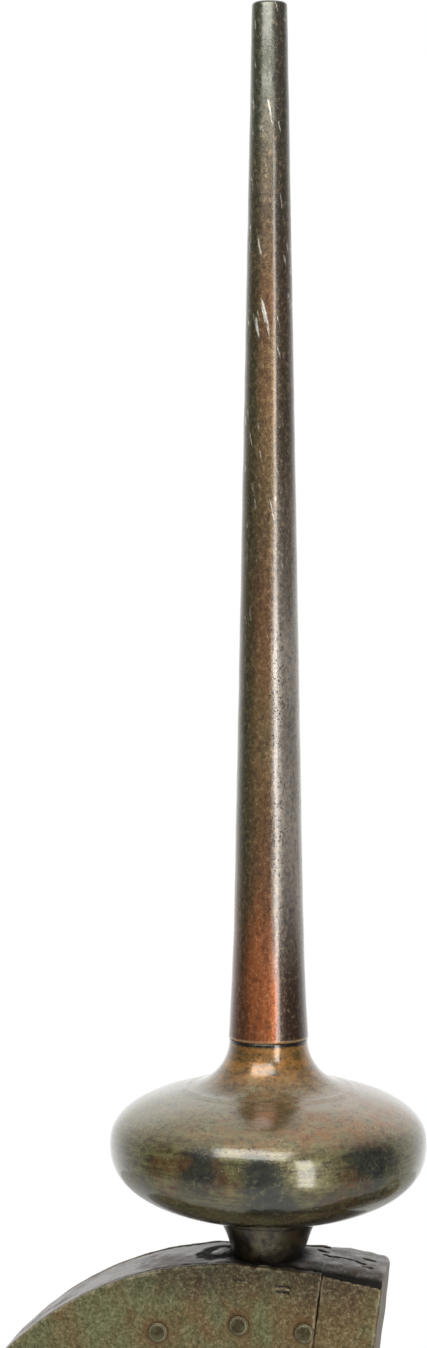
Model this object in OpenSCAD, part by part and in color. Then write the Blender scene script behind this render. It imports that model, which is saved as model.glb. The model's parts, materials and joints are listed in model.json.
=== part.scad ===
// Lower-quadrant railway semaphore signal on a short iron post: ball-and-spike finial, riveted
// head casing, counterweighted arm with two spectacle glasses, and a lift-off oil lamp.
// The origin is on the ground on the post's axis. +Z is up, the arm points to -X and drops
// towards clear, and an approaching train sees the -Y side. Millimetres.

/* [Heights and travel] */
// Height of the arm's spindle above the ground
spindle_z = 1480; // [1300:10:2200]
// Sideways place of the spindle from the post's axis
spindle_x = -18; // [-24:1:-12]
// Angle that the arm drops from danger to clear
arm_drop = 45; // [30:1:50]

/* [Base and post] */
// Side of the square base flange
base_w = 420; // [380:10:600]
// Thickness of the base flange
base_t = 22; // [16:1:32]
// Distance between foundation holes, both ways
anchor_pitch = 340; // [320:5:520]
// Diameter of the foundation holes
anchor_d = 22; // [16:1:28]
// Height of the pedestal's socket above the ground
pedestal_h = 330; // [260:5:420]
// Outside diameter of the post tube
post_d = 88.9; // [76:0.1:108]
// Wall of the post tube
post_wall = 5; // [3:0.5:9]
// Wall of the cast sockets round the post
socket_wall = 12; // [9:0.5:16]
// Depth of the saddle's socket on the post
saddle_h = 120; // [90:5:160]

/* [Head casing] */
// Radius of the casing's left side and top, round the spindle
head_r = 212; // [195:1:250]
// Radius of the casing's flatter top right
head_r2 = 404; // [340:2:480]
// Front to back depth of the casing
head_d = 64; // [58:1:78]
// Thickness of the two cheek plates
cheek_t = 6; // [4:0.5:8]
// Thickness of the rim band
rim_t = 5; // [3:0.5:8]
// Distance of the top right corner from the spindle's axis
head_reach = 96; // [88:1:112]
// Slope of the right-hand end from upright
end_slope = 7.2; // [4:0.2:9]
// Width of the end bar
end_w = 39; // [34:1:44]
// Depth of the casing below the spindle
head_drop = 150; // [130:2:180]
// Distance of the rivets in from the edge
rivet_inset = 39; // [32:1:46]
// Diameter of the rivet heads
rivet_d = 12.8; // [10:0.2:16]

/* [Finial] */
// Diameter of the ball
ball_d = 206; // [160:1:250]
// Height of the ball's widest line above the casing's top
ball_z = 73.5; // [64:0.1:90]
// Height of the ball above its widest line
ball_upper = 40.1; // [36:0.1:52]
// Depth of the ball below its widest line
ball_lower = 48.1; // [40:0.1:50]
// Fullness of the ball's shoulder, where 2 is a plain ellipse
upper_fullness = 2.4; // [2:0.01:2.8]
// Fullness of the ball's underside, where 2 is a plain ellipse
lower_fullness = 2.33; // [2:0.01:2.8]
// Diameter of the ball's neck
neck_d = 51; // [44:0.5:60]
// Radius of the sweep from the ball into its neck
neck_sweep = 31.8; // [26:0.1:40]
// Wall of the hollow ball
ball_wall = 7; // [5:0.5:9]
// Height of the spike
spike_l = 665.5; // [500:0.5:900]
// Diameter of the spike's tip
spike_tip_d = 22.6; // [18:0.2:30]
// Diameter that the spike's straight taper has at its foot
spike_root_d = 48; // [42:0.5:56]
// Diameter of the spike's flared foot
spike_foot_d = 52; // [50:0.5:64]
// Height of the flare
spike_flare = 92; // [60:1:120]
// Top diameter of the seat under the ball
seat_top_d = 66; // [58:1:76]
// Foot diameter of the seat under the ball
seat_foot_d = 45; // [40:1:54]
// Diameter of the tie rod through the finial
tie_d = 20; // [16:1:24]

/* [Arm and spectacle] */
// Reach of the arm's tip from the spindle
arm_l = 720; // [560:10:900]
// Height of the blade at its root
blade_root_w = 116; // [90:2:140]
// Height of the blade at its tip
blade_tip_w = 136; // [100:2:160]
// Thickness of the blade
blade_t = 3; // [2:0.5:5]
// Diameter of the spindle
spindle_d = 25; // [20:1:32]
// Distance from the spindle to the centre of each glass
glass_reach = 215; // [200:1:240]
// Diameter of the spectacle glasses
glass_d = 110; // [90:1:116]
// Thickness of the spectacle casting's plate
plate_t = 10; // [8:0.5:14]

/* [Linkage] */
// Radius of the crank, and of the rod's pin on the balance lever
crank_r = 90; // [80:1:110]
// Height of the balance lever's fulcrum
fulcrum_z = 430; // [400:5:600]
// Reach of the wire's link on the balance lever
wire_r = 180; // [165:1:184]
// Reach of the balance weight
weight_r = 300; // [240:5:340]
// Diameter of the balance weight
weight_d = 150; // [120:2:180]
// Front to back length of the balance weight
weight_l = 60; // [40:2:80]
// Thickness of the crank and the balance lever
web_t = 14; // [10:1:16]
// Depth of the balance lever's bar
lever_w = 32; // [26:1:40]
// Diameter of the fulcrum pin
fulcrum_d = 20; // [16:1:24]
// Diameter of the joint pins
pin_d = 12; // [10:0.5:16]
// Diameter of the down rod
rod_d = 16; // [12:0.5:20]
// Outside radius of the wire pulley
pulley_r = 60; // [45:1:70]

/* [Lamp] */
// Width of the lamp case
lamp_w = 130; // [116:2:150]
// Front to back depth of the lamp case
lamp_l = 120; // [100:2:150]
// Height of the lamp case
lamp_h = 150; // [140:2:180]
// Wall of the lamp case
lamp_wall = 2; // [1.5:0.5:3]
// Diameter of the lamp's lens
lens_d = 100; // [80:1:104]
// How far the lamp lifts to leave its bracket
lamp_lift = 76; // [70:1:90]

/* [Fits] */
// Radial clearance of a turning pin or shaft
run_fit = 0.05; // [0.02:0.01:0.1]
// Radial clearance of a pin or shaft that is driven in
press_fit = 0.01; // [0.01:0.01:0.03]
// Radial clearance of a bolt or rod in its hole
bolt_fit = 0.4; // [0.2:0.1:0.8]
// Clearance between castings and what they seat on
seat_fit = 0.1; // [0.05:0.05:0.3]
// Gap at each side of a turning boss
side_gap = 0.5; // [0.3:0.1:1]
// Gap of the loose lower pin, where the linkage is left open
slack_fit = 0.4; // [0.3:0.1:0.8]

/* [Hidden] */
$fn = 72;
eps = 0.5;
half_drop = arm_drop / 2;
post_r = post_d / 2;
socket_r = post_r + socket_wall;
socket_bore_r = post_r + seat_fit;
head_y = head_d / 2;
inner_y = head_y - cheek_t;
head_top = spindle_z + head_r;
corner_v = head_r - head_r2 + sqrt(pow(head_r2, 2) - pow(head_reach, 2));
saddle_top = spindle_z - head_drop;
saddle_foot = saddle_top - saddle_h;
post_foot = base_t + 8;
post_top = saddle_top - socket_wall;
neck_sink = 3.1;
joint_z = head_top + ball_z + ball_upper + neck_sweep - neck_sink;
bush_flange = 5;
hub_l = 26;
hub_y = head_y + bush_flange + side_gap;
plate_back = hub_y + 4;
plate_front = plate_back + plate_t;
blade_front = plate_front + blade_t;
hub_front = hub_y + hub_l;
link_y = post_r + 21.5;
web_y0 = link_y - web_t / 2;
web_y1 = link_y + web_t / 2;
ear_t = 6;
ear_in = web_t / 2 + side_gap;
ear_out = ear_in + ear_t;
ear_r = 16;
fork_reach = 40;
fork_block = 22;
pin_head = 4;
ring_r = glass_d / 2 + 9;
ring_in = glass_d / 2 - 5;
rest_pin = [spindle_x - crank_r * cos(half_drop), crank_r * sin(half_drop)];
link_pin_x = spindle_x - wire_r * cos(half_drop);
link_pin_z = fulcrum_z + wire_r * sin(half_drop);
groove_r = pulley_r - 10;
pulley_y = link_y - groove_r;
pulley_z = base_t + 8 + pulley_r + 4;
lamp_x = spindle_x + glass_reach;
lamp_y0 = -10;
lamp_y1 = lamp_y0 + lamp_l;
lamp_z0 = spindle_z - lamp_h / 2 - 5;
lamp_z1 = lamp_z0 + lamp_h;
shelf_top = lamp_z0 - 0.3;
shelf_t = 8;
tongue_x = lamp_x - lamp_w / 2 - 14;
tongue_t = 6;
tongue_w = 40;
tongue_y = 50;
door_y = lamp_y1;
door_pin_x = lamp_x + lamp_w / 2 + 1;
door_pin_y = door_y + 4;
knob_z = lamp_z0 + 58;
clamp_h = 60;
clamp_r = post_r + 12;
clamp_ear = 30;
clamp_bolt_x = clamp_r + 16;

// ---- shapes that repeat ----

// An outline drawn in X and Z, given a thickness from y0 to y1
module slab(y0, y1) {
    translate([0, y1, 0]) rotate([90, 0, 0]) linear_extrude(y1 - y0) children();
}

// A round bar along Y at (x, z)
module rod_y(x, z, r, y0, y1) {
    translate([x, y1, z]) rotate([90, 0, 0]) cylinder(r = r, h = y1 - y0);
}

// A round bar along X at (y, z)
module rod_x(y, z, r, x0, x1) {
    translate([x0, y, z]) rotate([0, 90, 0]) cylinder(r = r, h = x1 - x0);
}

// A hexagon along Y, across flats af
module hex_y(x, z, af, y0, y1) {
    translate([x, y1, z]) rotate([90, 0, 0]) cylinder(r = af / sqrt(3), h = y1 - y0, $fn = 6);
}

// A box given by its two corners
module box(a, b) {
    translate(a) cube(b - a);
}

// Outline of a bar that tapers between two round ends on the X axis
module taper_bar(x1, r1, x2, r2) {
    way = sign(x2 - x1);
    lean = asin((r1 - r2) / abs(x2 - x1));
    translate([x1, 0]) circle(r1);
    translate([x2, 0]) circle(r2);
    polygon([
        [x1 + way * r1 * sin(lean), r1 * cos(lean)],
        [x2 + way * r2 * sin(lean), r2 * cos(lean)],
        [x2 + way * r2 * sin(lean), -r2 * cos(lean)],
        [x1 + way * r1 * sin(lean), -r1 * cos(lean)]
    ]);
}

// A hexagon bolt along Y: head in front at y0, nut behind at y1
module through_bolt(x, z, d, y0, y1) {
    rod_y(x, z, d / 2, y0, y1 + 0.9 * d);
    hex_y(x, z, 1.6 * d, y0 - 0.6 * d, y0);
    hex_y(x, z, 1.6 * d, y1, y1 + 0.7 * d);
}

// The two ears, block and shank of a rod's fork, with its pin at the origin; the rod leaves downwards
module fork(hole_r) {
    difference() {
        union() {
            for (side = [-1, 1]) {
                y0 = side > 0 ? ear_in : -ear_out;
                slab(y0, y0 + ear_t) {
                    circle(ear_r);
                    translate([-ear_r, -fork_reach]) square([2 * ear_r, fork_reach]);
                }
            }
            box([-ear_r, -ear_out, -fork_reach - fork_block], [ear_r, ear_out, -fork_reach]);
            translate([0, 0, -fork_reach - fork_block - 14]) cylinder(r = rod_d / 2 + 5, h = 14);
        }
        rod_y(0, 0, hole_r, -ear_out - eps, ear_out + eps);
        translate([0, 0, -fork_reach - fork_block - 14 - eps])
            cylinder(r = rod_d / 2 + seat_fit, h = fork_block + 14 + eps - 4);
    }
}

// A headed pin along Y at (x, z), long enough for a fork, with a cross pin in its tail
module fork_pin(x, z, r) {
    rod_y(x, z, r, link_y - ear_out - 8, link_y + ear_out + 1);
    rod_y(x, z, r + 4, link_y + ear_out + 1, link_y + ear_out + 1 + pin_head);
    rod_x(link_y - ear_out - 4, z, 1.6, x - r - 4, x + r + 4);
}

// Places its children at the spindle
module at_spindle() {
    translate([spindle_x, 0, spindle_z]) children();
}

// ---- finial ----

// Radius of the spike at height t above its foot: straight taper plus a flare
function spike_r(t) =
    (spike_root_d + (spike_tip_d - spike_root_d) * t / spike_l) / 2
    + (t < spike_flare ? (spike_foot_d - spike_root_d) / 2 * pow(1 - t / spike_flare, 2) : 0);

module spike() {
    tip_round = 3;
    flare_steps = 8;
    color([0.45, 0.38, 0.24]) difference() {
        translate([0, 0, joint_z]) rotate_extrude() polygon(concat(
            [[0, 0]],
            [for (i = [0:flare_steps]) let (t = i * spike_flare / flare_steps) [spike_r(t), t]],
            [for (a = [0:22.5:90])
                [spike_tip_d / 2 - tip_round * (1 - cos(a)), spike_l - tip_round * (1 - sin(a))]],
            [[0, spike_l]]
        ));
        translate([0, 0, joint_z - eps]) cylinder(r = tie_d / 2 + seat_fit, h = 84 + eps);
    }
}

// Outline of the ball from its foot to its neck, drawn in by inset
foot_turn = 74;
function ball_foot(inset) = -(ball_lower - inset) * pow(sin(foot_turn), 2 / lower_fullness);
function ball_lower_pts(inset) =
    [for (a = [foot_turn:-7.4:0.1]) [
        (ball_d / 2 - inset) * pow(cos(a), 2 / lower_fullness),
        -(ball_lower - inset) * pow(sin(a), 2 / lower_fullness)
    ]];
function ball_upper_pts(inset) =
    [for (a = [0:6:60]) [
        (ball_d / 2 - inset) * pow(cos(a), 2 / upper_fullness),
        (ball_upper - inset) * pow(sin(a), 2 / upper_fullness)
    ]];
function neck_pts() =
    [for (a = [-84:12:0]) [
        neck_d / 2 + neck_sweep * (1 - cos(a)),
        joint_z - head_top - ball_z + neck_sweep * sin(a)
    ]];

module ball() {
    boss_r = tie_d / 2 + 6;
    color([0.36, 0.34, 0.26]) translate([0, 0, head_top + ball_z]) difference() {
        rotate_extrude() polygon(concat(
            [[0, ball_foot(0)]],
            ball_lower_pts(0),
            ball_upper_pts(0),
            neck_pts(),
            [[0, joint_z - head_top - ball_z]]
        ));
        difference() {
            rotate_extrude() polygon(concat(
                [[0, ball_foot(ball_wall)]],
                ball_lower_pts(ball_wall),
                ball_upper_pts(ball_wall),
                [[0, ball_upper - ball_wall - 4]]
            ));
            translate([0, 0, -ball_lower]) cylinder(r = boss_r, h = ball_lower + ball_upper);
        }
        translate([0, 0, -ball_lower - eps])
            cylinder(r = tie_d / 2 + bolt_fit, h = ball_lower + ball_upper + neck_sweep + 20);
    }
}

// Inverted cone between the rim and the ball; its foot is cut to the rim's curve
module ball_seat() {
    top = head_top + ball_z + ball_foot(0);
    rise = top - head_top;
    color([0.2, 0.17, 0.13]) difference() {
        translate([0, 0, head_top]) rotate_extrude() polygon(concat(
            [[0, -4], [seat_foot_d / 2, -4]],
            [for (i = [0:6]) let (t = i / 6)
                [(seat_foot_d + (seat_top_d - 3 - seat_foot_d) * pow(t, 1.35)) / 2, t * (rise - 4)]],
            [[seat_top_d / 2, rise - 3], [seat_top_d / 2 - 0.5, rise], [0, rise]]
        ));
        at_spindle() slab(-head_y, head_y) head_disc(0);
        translate([0, 0, head_top - 10]) cylinder(r = tie_d / 2 + bolt_fit, h = rise + 20);
    }
}

module finial_rod() {
    color([0.35, 0.33, 0.3])
        translate([0, 0, head_top - 40]) cylinder(r = tie_d / 2, h = joint_z - head_top + 40 + 80);
}

// The rim curves down to the right, so the washer hangs below its lowest line
washer_r = inner_y - 9;
washer_t = 4;
washer_z = head_top - head_r2 + sqrt(pow(head_r2 - rim_t, 2) - pow(washer_r - spindle_x, 2))
    - washer_t - 0.1;

module finial_washer() {
    color([0.3, 0.3, 0.3]) translate([0, 0, washer_z]) difference() {
        cylinder(r = washer_r, h = washer_t);
        translate([0, 0, -eps]) cylinder(r = tie_d / 2 + bolt_fit, h = washer_t + 2 * eps);
    }
}

module finial_nut() {
    nut_h = 16;
    color([0.3, 0.3, 0.3]) translate([0, 0, washer_z - nut_h - 0.1]) difference() {
        cylinder(r = washer_r, h = nut_h, $fn = 6);
        translate([0, 0, -eps]) cylinder(r = tie_d / 2 + seat_fit, h = nut_h + 2 * eps);
    }
}

// ---- head casing, drawn round the spindle ----

// Reach of the sloping right-hand end at height v
function end_u(v) = head_reach - (corner_v - v) * tan(end_slope);

// The casing's round: one radius on the left, a flatter one on the right, meeting at the top
module head_disc(inset) {
    wide = 2 * head_r2;
    intersection() {
        circle(head_r - inset);
        translate([-wide, -wide]) square([wide, 2 * wide]);
    }
    intersection() {
        translate([0, head_r - head_r2]) circle(head_r2 - inset);
        translate([-0.01, -head_r]) square([head_r, wide]);
    }
}

// Everything left of a line that lies shift inside the sloping end, down to the casing's foot
module left_of_end(shift, foot = -head_drop) {
    up = head_r + 20;
    polygon([
        [end_u(up) - shift, up], [-head_r - 20, up],
        [-head_r - 20, foot], [end_u(foot) - shift, foot]
    ]);
}

module head_outline(inset, shift, foot = -head_drop) {
    intersection() {
        head_disc(inset);
        left_of_end(shift, foot);
    }
}

// Rivets run round the edge from the seam to the casing's lower left
rivet_pitch = 17.8;
rivet_count = 7;
function rivet_places() = concat(
    [for (i = [0:rivet_count - 1]) let (a = 1.3 - i * rivet_pitch)
        [(head_r - rivet_inset) * sin(a), (head_r - rivet_inset) * cos(a)]],
    [[(head_r2 - rivet_inset) * sin(7.3), head_r - head_r2 + (head_r2 - rivet_inset) * cos(7.3)]]
);
// Bolts through the cheeks and the saddle's upright, from the casing's foot
saddle_bolt_d = 12;
function saddle_bolt_places() =
    [for (x = [-62, -26]) for (z = [34, 80]) [x - spindle_x, z - head_drop]];
seam_gap = 0.4;
shank_r = 4;

module cheek(y0) {
    difference() {
        at_spindle() slab(y0, y0 + cheek_t) difference() {
            head_outline(0, end_w + seam_gap);
            circle(19 + seat_fit);
            for (p = rivet_places()) translate(p) circle(shank_r + seat_fit);
            for (p = saddle_bolt_places()) translate(p) circle(saddle_bolt_d / 2 + bolt_fit);
        }
        if (y0 > 0) for (p = stop_places()) at_spindle()
            rod_y(p[0], p[1], stop_r / 2 + seat_fit, 0, head_y + 1);
    }
}

module front_cheek() {
    color([0.4, 0.38, 0.26]) cheek(-head_y);
}

module back_cheek() {
    color([0.38, 0.36, 0.25]) cheek(inner_y);
}

module end_bar() {
    wall = 6;
    color([0.42, 0.38, 0.27]) difference() {
        at_spindle() slab(-head_y, head_y) difference() {
            head_outline(0, 0);
            left_of_end(end_w, -head_drop - 10);
        }
        at_spindle() slab(-inner_y, inner_y) intersection() {
            head_disc(wall);
            left_of_end(wall, -head_drop - 10);
        }
        for (p = bracket_bolt_places()) bracket_bolt_hole(p);
    }
}

module rim_band() {
    color([0.42, 0.39, 0.35]) difference() {
        at_spindle() slab(-inner_y, inner_y) difference() {
            head_outline(0, end_w + seam_gap);
            head_disc(rim_t);
        }
        translate([0, 0, head_top - 20]) cylinder(r = tie_d / 2 + bolt_fit, h = 40);
    }
}

// Bars inside the rim that the rivets hold to the cheeks
module rim_angles() {
    leg = rivet_inset + 9;
    leg_t = 5;
    lip = 8;
    foot = saddle_floor - head_drop + 1;
    color([0.3, 0.27, 0.22]) at_spindle() for (side = [0, 1]) mirror([0, side, 0]) {
        slab(-inner_y, -inner_y + leg_t) difference() {
            head_outline(rim_t + seat_fit, end_w + 1, foot);
            head_disc(leg);
            for (p = rivet_places()) translate(p) circle(shank_r + seat_fit);
        }
        slab(-inner_y + leg_t, -inner_y + lip) difference() {
            head_outline(rim_t + seat_fit, end_w + 1, foot);
            head_disc(rim_t + leg_t);
        }
    }
}

module head_rivets() {
    head_h = 2.6;
    color([0.36, 0.35, 0.28]) at_spindle() for (side = [0, 1]) mirror([0, side, 0])
        for (p = rivet_places()) {
            translate([p[0], -head_y, p[1]]) rotate([90, 0, 0]) {
                cylinder(r = rivet_d / 2, h = head_h - 0.8);
                translate([0, 0, head_h - 0.8])
                    cylinder(r1 = rivet_d / 2, r2 = rivet_d / 2 - 1.2, h = 0.8);
            }
            rod_y(p[0], p[1], shank_r, -head_y, -inner_y + 5);
            rod_y(p[0], p[1], shank_r + 1.5, -inner_y + 5, -inner_y + 6.5);
        }
}

// Casting that carries the casing on the post: socket, floor plate, upright and web
saddle_floor = 8;
module head_saddle() {
    up_x0 = -78;
    up_x1 = -10;
    up_h = 104;
    floor_x0 = spindle_x - sqrt(pow(head_r, 2) - pow(head_drop, 2)) + 14;
    y = inner_y - seat_fit;
    color([0.24, 0.26, 0.2]) difference() {
        union() {
            translate([0, 0, saddle_foot]) cylinder(r = socket_r, h = saddle_h);
            translate([0, 0, saddle_foot]) cylinder(r = socket_r + 4, h = 18);
            box([floor_x0, -y, saddle_top - eps], [up_x1, y, saddle_top + saddle_floor]);
            box([up_x0, -y, saddle_top], [up_x1, y, saddle_top + up_h]);
            slab(-6, 6) polygon([
                [-socket_r + 2, saddle_foot + 20], [floor_x0, saddle_top - 10],
                [floor_x0, saddle_top + 1], [-socket_r + 2, saddle_top + 1]
            ]);
        }
        box([up_x0 + 8, -y + 8, saddle_top + saddle_floor], [up_x1 - 8, y - 8, saddle_top + up_h + 1]);
        translate([0, 0, saddle_foot - eps])
            cylinder(r = socket_bore_r, h = post_top - saddle_foot + 2 * eps);
        for (p = saddle_bolt_places())
            at_spindle() rod_y(p[0], p[1], saddle_bolt_d / 2 + bolt_fit, -head_y, head_y);
        for (a = [0, 120, 240]) set_screw_hole(a, saddle_foot + 9);
    }
}

module saddle_bolts() {
    color([0.25, 0.24, 0.2]) at_spindle() for (p = saddle_bolt_places())
        through_bolt(p[0], p[1], saddle_bolt_d, -head_y, head_y);
}

module spindle_bushes() {
    bush_r = 19;
    color([0.65, 0.5, 0.25]) at_spindle() for (side = [0, 1]) mirror([0, side, 0]) difference() {
        union() {
            rod_y(0, 0, bush_r, -head_y, -inner_y + 14);
            rod_y(0, 0, 28, -head_y - bush_flange, -head_y);
        }
        rod_y(0, 0, spindle_d / 2 + run_fit, -head_y - bush_flange - 1, 0);
    }
}

// Studs on the back cheek that the crank meets at danger and at clear
stop_r = 10;
crank_w = 14;
function stop_places() = [for (s = [-1, 1])
    let (a = 180 - s * half_drop, along = 56, off = crank_w + 0.3 + stop_r)
    [along * cos(a) + s * off * sin(a), along * sin(a) - s * off * cos(a)]];

module stop_studs() {
    color([0.3, 0.28, 0.24]) at_spindle() for (p = stop_places()) {
        rod_y(p[0], p[1], stop_r, head_y, web_y1 + 2);
        rod_y(p[0], p[1], stop_r / 2, inner_y, head_y);
    }
}

// ---- arm ----

module spindle() {
    color([0.5, 0.48, 0.45]) at_spindle() {
        rod_y(0, 0, spindle_d / 2, -hub_front, web_y1 + 3);
        rod_y(0, 0, spindle_d / 2 - 2.5, -hub_front - 22, -hub_front);
    }
}

module spindle_nut() {
    color([0.4, 0.36, 0.25]) at_spindle() difference() {
        union() {
            rod_y(0, 0, 24, -hub_front - 3, -hub_front);
            hex_y(0, 0, 34, -hub_front - 19, -hub_front - 3);
        }
        rod_y(0, 0, spindle_d / 2 - 2.5 + seat_fit, -hub_front - 20, -hub_front + 1);
    }
}

glass_turns = [0, -arm_drop];
arm_bolt_us = [-112, -205, -300];
arm_bolt_v = 20;

// Outline of the spectacle casting: boss, arm tongue, spokes and two glass rings
module spectacle_outline() {
    circle(34);
    polygon([[0, 34], [-340, 30], [-340, -30], [0, -34]]);
    for (a = glass_turns) rotate(a) {
        translate([glass_reach, 0]) circle(ring_r);
        taper_bar(0, 24, glass_reach - ring_r + 4, 12);
    }
    rotate(-half_turn()) translate([glass_reach * cos(half_turn()) - 12, -40]) square([24, 80]);
}
function half_turn() = (glass_turns[0] - glass_turns[1]) / 2;

module spectacle_plate() {
    color([0.3, 0.29, 0.22]) at_spindle() difference() {
        union() {
            slab(-plate_front, -plate_back) spectacle_outline();
            rod_y(0, 0, 34, -hub_front, -hub_y);
        }
        rod_y(0, 0, spindle_d / 2 + press_fit, -hub_front - 1, 0);
        for (a = glass_turns) rotate([0, -a, 0]) {
            rod_y(glass_reach, 0, ring_in, -plate_front - 1, 0);
            rod_y(glass_reach, 0, glass_d / 2 + seat_fit, -plate_front - 1, -plate_front + 5);
        }
        for (u = arm_bolt_us) for (v = [-arm_bolt_v, arm_bolt_v])
            rod_y(u, v, 5 + bolt_fit, -plate_front - 1, 0);
    }
}

module arm_blade() {
    root = -62;
    color([0.62, 0.1, 0.07]) at_spindle() slab(-blade_front, -plate_front) difference() {
        polygon([
            [root, blade_root_w / 2], [-arm_l, blade_tip_w / 2],
            [-arm_l, -blade_tip_w / 2], [root, -blade_root_w / 2]
        ]);
        for (u = arm_bolt_us) for (v = [-arm_bolt_v, arm_bolt_v]) translate([u, v]) circle(5 + bolt_fit);
    }
}

module arm_stiffener() {
    color([0.2, 0.2, 0.18]) at_spindle() {
        box([-arm_l + 30, -plate_front, -14], [-346, -plate_front + 4, 14]);
        box([-arm_l + 30, -plate_back + 4, -2], [-346, -plate_front + 10, 2]);
        box([-arm_l + 30, -plate_front + 3, -2], [-346, -plate_back + 5, 2]);
    }
}

module arm_bolts() {
    color([0.3, 0.28, 0.24]) at_spindle()
        for (u = arm_bolt_us) for (v = [-arm_bolt_v, arm_bolt_v]) {
            rod_y(u, v, 5, -blade_front, -plate_back + 6);
            hex_y(u, v, 16, -blade_front - 6, -blade_front);
            hex_y(u, v, 16, -plate_back, -plate_back + 4);
        }
}

// A slightly domed round glass in its rebate
module glass_disc(turn) {
    edge = 2.2;
    rise = 2.5;
    r = glass_d / 2;
    at_spindle() rotate([0, -turn, 0]) translate([glass_reach, -plate_front + 5, 0])
        rotate([90, 0, 0]) rotate_extrude() polygon(concat(
            [[0, 0], [r, 0]],
            [for (i = [0:6]) let (t = 1 - i / 6) [r * t, edge + rise * (1 - t * t)]]
        ));
}

module red_glass() {
    color([0.7, 0.05, 0.05, 0.7]) glass_disc(glass_turns[0]);
}

module green_glass() {
    color([0.05, 0.45, 0.3, 0.7]) glass_disc(glass_turns[1]);
}

module glass_rings() {
    color([0.45, 0.36, 0.2]) at_spindle() for (a = glass_turns) rotate([0, -a, 0]) difference() {
        rod_y(glass_reach, 0, ring_r - 1, -plate_front - 3, -plate_front);
        rod_y(glass_reach, 0, ring_in, -plate_front - 4, -plate_front + 1);
    }
}

module ring_screws() {
    color([0.5, 0.42, 0.25]) at_spindle() for (a = glass_turns) rotate([0, -a, 0])
        translate([glass_reach, 0, 0]) for (b = [30:60:330]) rotate([0, b, 0])
            rod_y(ring_r - 4.5, 0, 3, -plate_front - 5, -plate_front - 3);
}

// Points to the left, half the drop above level at danger
module crank() {
    color([0.28, 0.27, 0.22]) at_spindle() rotate([0, half_drop, 0]) difference() {
        union() {
            rod_y(0, 0, 26, hub_y, web_y1 + 1);
            slab(web_y0, web_y1) taper_bar(0, crank_w, -crank_r, crank_w);
        }
        rod_y(0, 0, spindle_d / 2 + press_fit, 0, web_y1 + 5);
        rod_y(-crank_r, 0, pin_d / 2 + press_fit, 0, web_y1 + 5);
    }
}

module crank_pin() {
    color([0.5, 0.48, 0.45]) fork_pin(rest_pin[0], spindle_z + rest_pin[1], pin_d / 2);
}

// ---- down rod ----

rod_top = spindle_z + rest_pin[1] - fork_reach - 4.5;
rod_foot = fulcrum_z + rest_pin[1] + fork_reach + 4.5;

module down_rod() {
    color([0.22, 0.22, 0.2])
        translate([rest_pin[0], link_y, rod_foot]) cylinder(r = rod_d / 2, h = rod_top - rod_foot);
}

module upper_fork() {
    color([0.26, 0.25, 0.22])
        translate([rest_pin[0], link_y, spindle_z + rest_pin[1]]) fork(pin_d / 2 + run_fit);
}

module lower_fork() {
    color([0.26, 0.25, 0.22]) translate([rest_pin[0], link_y, fulcrum_z + rest_pin[1]])
        rotate([180, 0, 0]) fork(pin_d / 2 + slack_fit);
}

module rod_lock_nuts() {
    shoulder = fork_reach + fork_block + 14;
    nut_h = 12;
    color([0.3, 0.28, 0.24]) for (z = [
        spindle_z + rest_pin[1] - shoulder - nut_h - 0.3,
        fulcrum_z + rest_pin[1] + shoulder + 0.3
    ]) translate([rest_pin[0], link_y, z]) difference() {
        cylinder(r = 15, h = nut_h, $fn = 6);
        translate([0, 0, -eps]) cylinder(r = rod_d / 2 + seat_fit, h = nut_h + 2 * eps);
    }
}

// ---- balance lever, drawn level round its fulcrum, arm to the left ----

module at_lever() {
    translate([spindle_x, 0, fulcrum_z]) rotate([0, half_drop, 0]) children();
}

module balance_lever() {
    color([0.2, 0.2, 0.17]) at_lever() difference() {
        union() {
            slab(web_y0, web_y1) {
                circle(32);
                taper_bar(0, 28, -wire_r, 17);
                translate([0, -lever_w / 2]) square([weight_r + weight_d / 2 + 25, lever_w]);
            }
        }
        rod_y(0, 0, fulcrum_d / 2 + run_fit, 0, web_y1 + 5);
        rod_y(-crank_r, 0, pin_d / 2 + press_fit, 0, web_y1 + 5);
        rod_y(-wire_r, 0, pin_d / 2 + press_fit, 0, web_y1 + 5);
    }
}

module balance_weight() {
    color([0.16, 0.16, 0.15]) at_lever() difference() {
        rod_y(weight_r, 0, weight_d / 2, link_y - weight_l / 2, link_y + weight_l / 2);
        box(
            [weight_r - weight_d, web_y0 - 0.3, -lever_w / 2 - 0.3],
            [weight_r + weight_d, web_y1 + 0.3, lever_w / 2 + 0.3]
        );
        translate([weight_r, link_y, 0]) cylinder(r = 6 + seat_fit, h = weight_d);
    }
}

module weight_screw() {
    color([0.35, 0.33, 0.3]) at_lever() translate([weight_r, link_y, lever_w / 2 + 0.2]) {
        cylinder(r = 6, h = weight_d / 2 - lever_w / 2 + 4);
        translate([0, 0, weight_d / 2 - lever_w / 2 + 4]) cylinder(r = 10, h = 9, $fn = 6);
    }
}

module lever_pin() {
    color([0.5, 0.48, 0.45]) fork_pin(rest_pin[0], fulcrum_z + rest_pin[1], pin_d / 2);
}

eye_r = 8;
eye_z = -84;
module wire_link() {
    color([0.3, 0.29, 0.26]) translate([link_pin_x, link_y, link_pin_z]) difference() {
        union() {
            for (side = [-1, 1]) {
                y0 = side > 0 ? ear_in : -ear_out;
                slab(y0, y0 + ear_t) {
                    circle(14);
                    translate([-14, -52]) square([28, 52]);
                }
            }
            box([-14, -ear_out, -52], [14, ear_out, -40]);
            slab(-5, 5) {
                translate([0, eye_z]) circle(eye_r + 8);
                translate([-eye_r, eye_z]) square([2 * eye_r, -44 - eye_z]);
            }
        }
        rod_y(0, 0, pin_d / 2 + run_fit, -ear_out - 1, ear_out + 1);
        rod_y(0, eye_z, eye_r, -10, 10);
    }
}

module link_pin() {
    color([0.5, 0.48, 0.45]) fork_pin(link_pin_x, link_pin_z, pin_d / 2);
}

// ---- post and base ----

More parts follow.
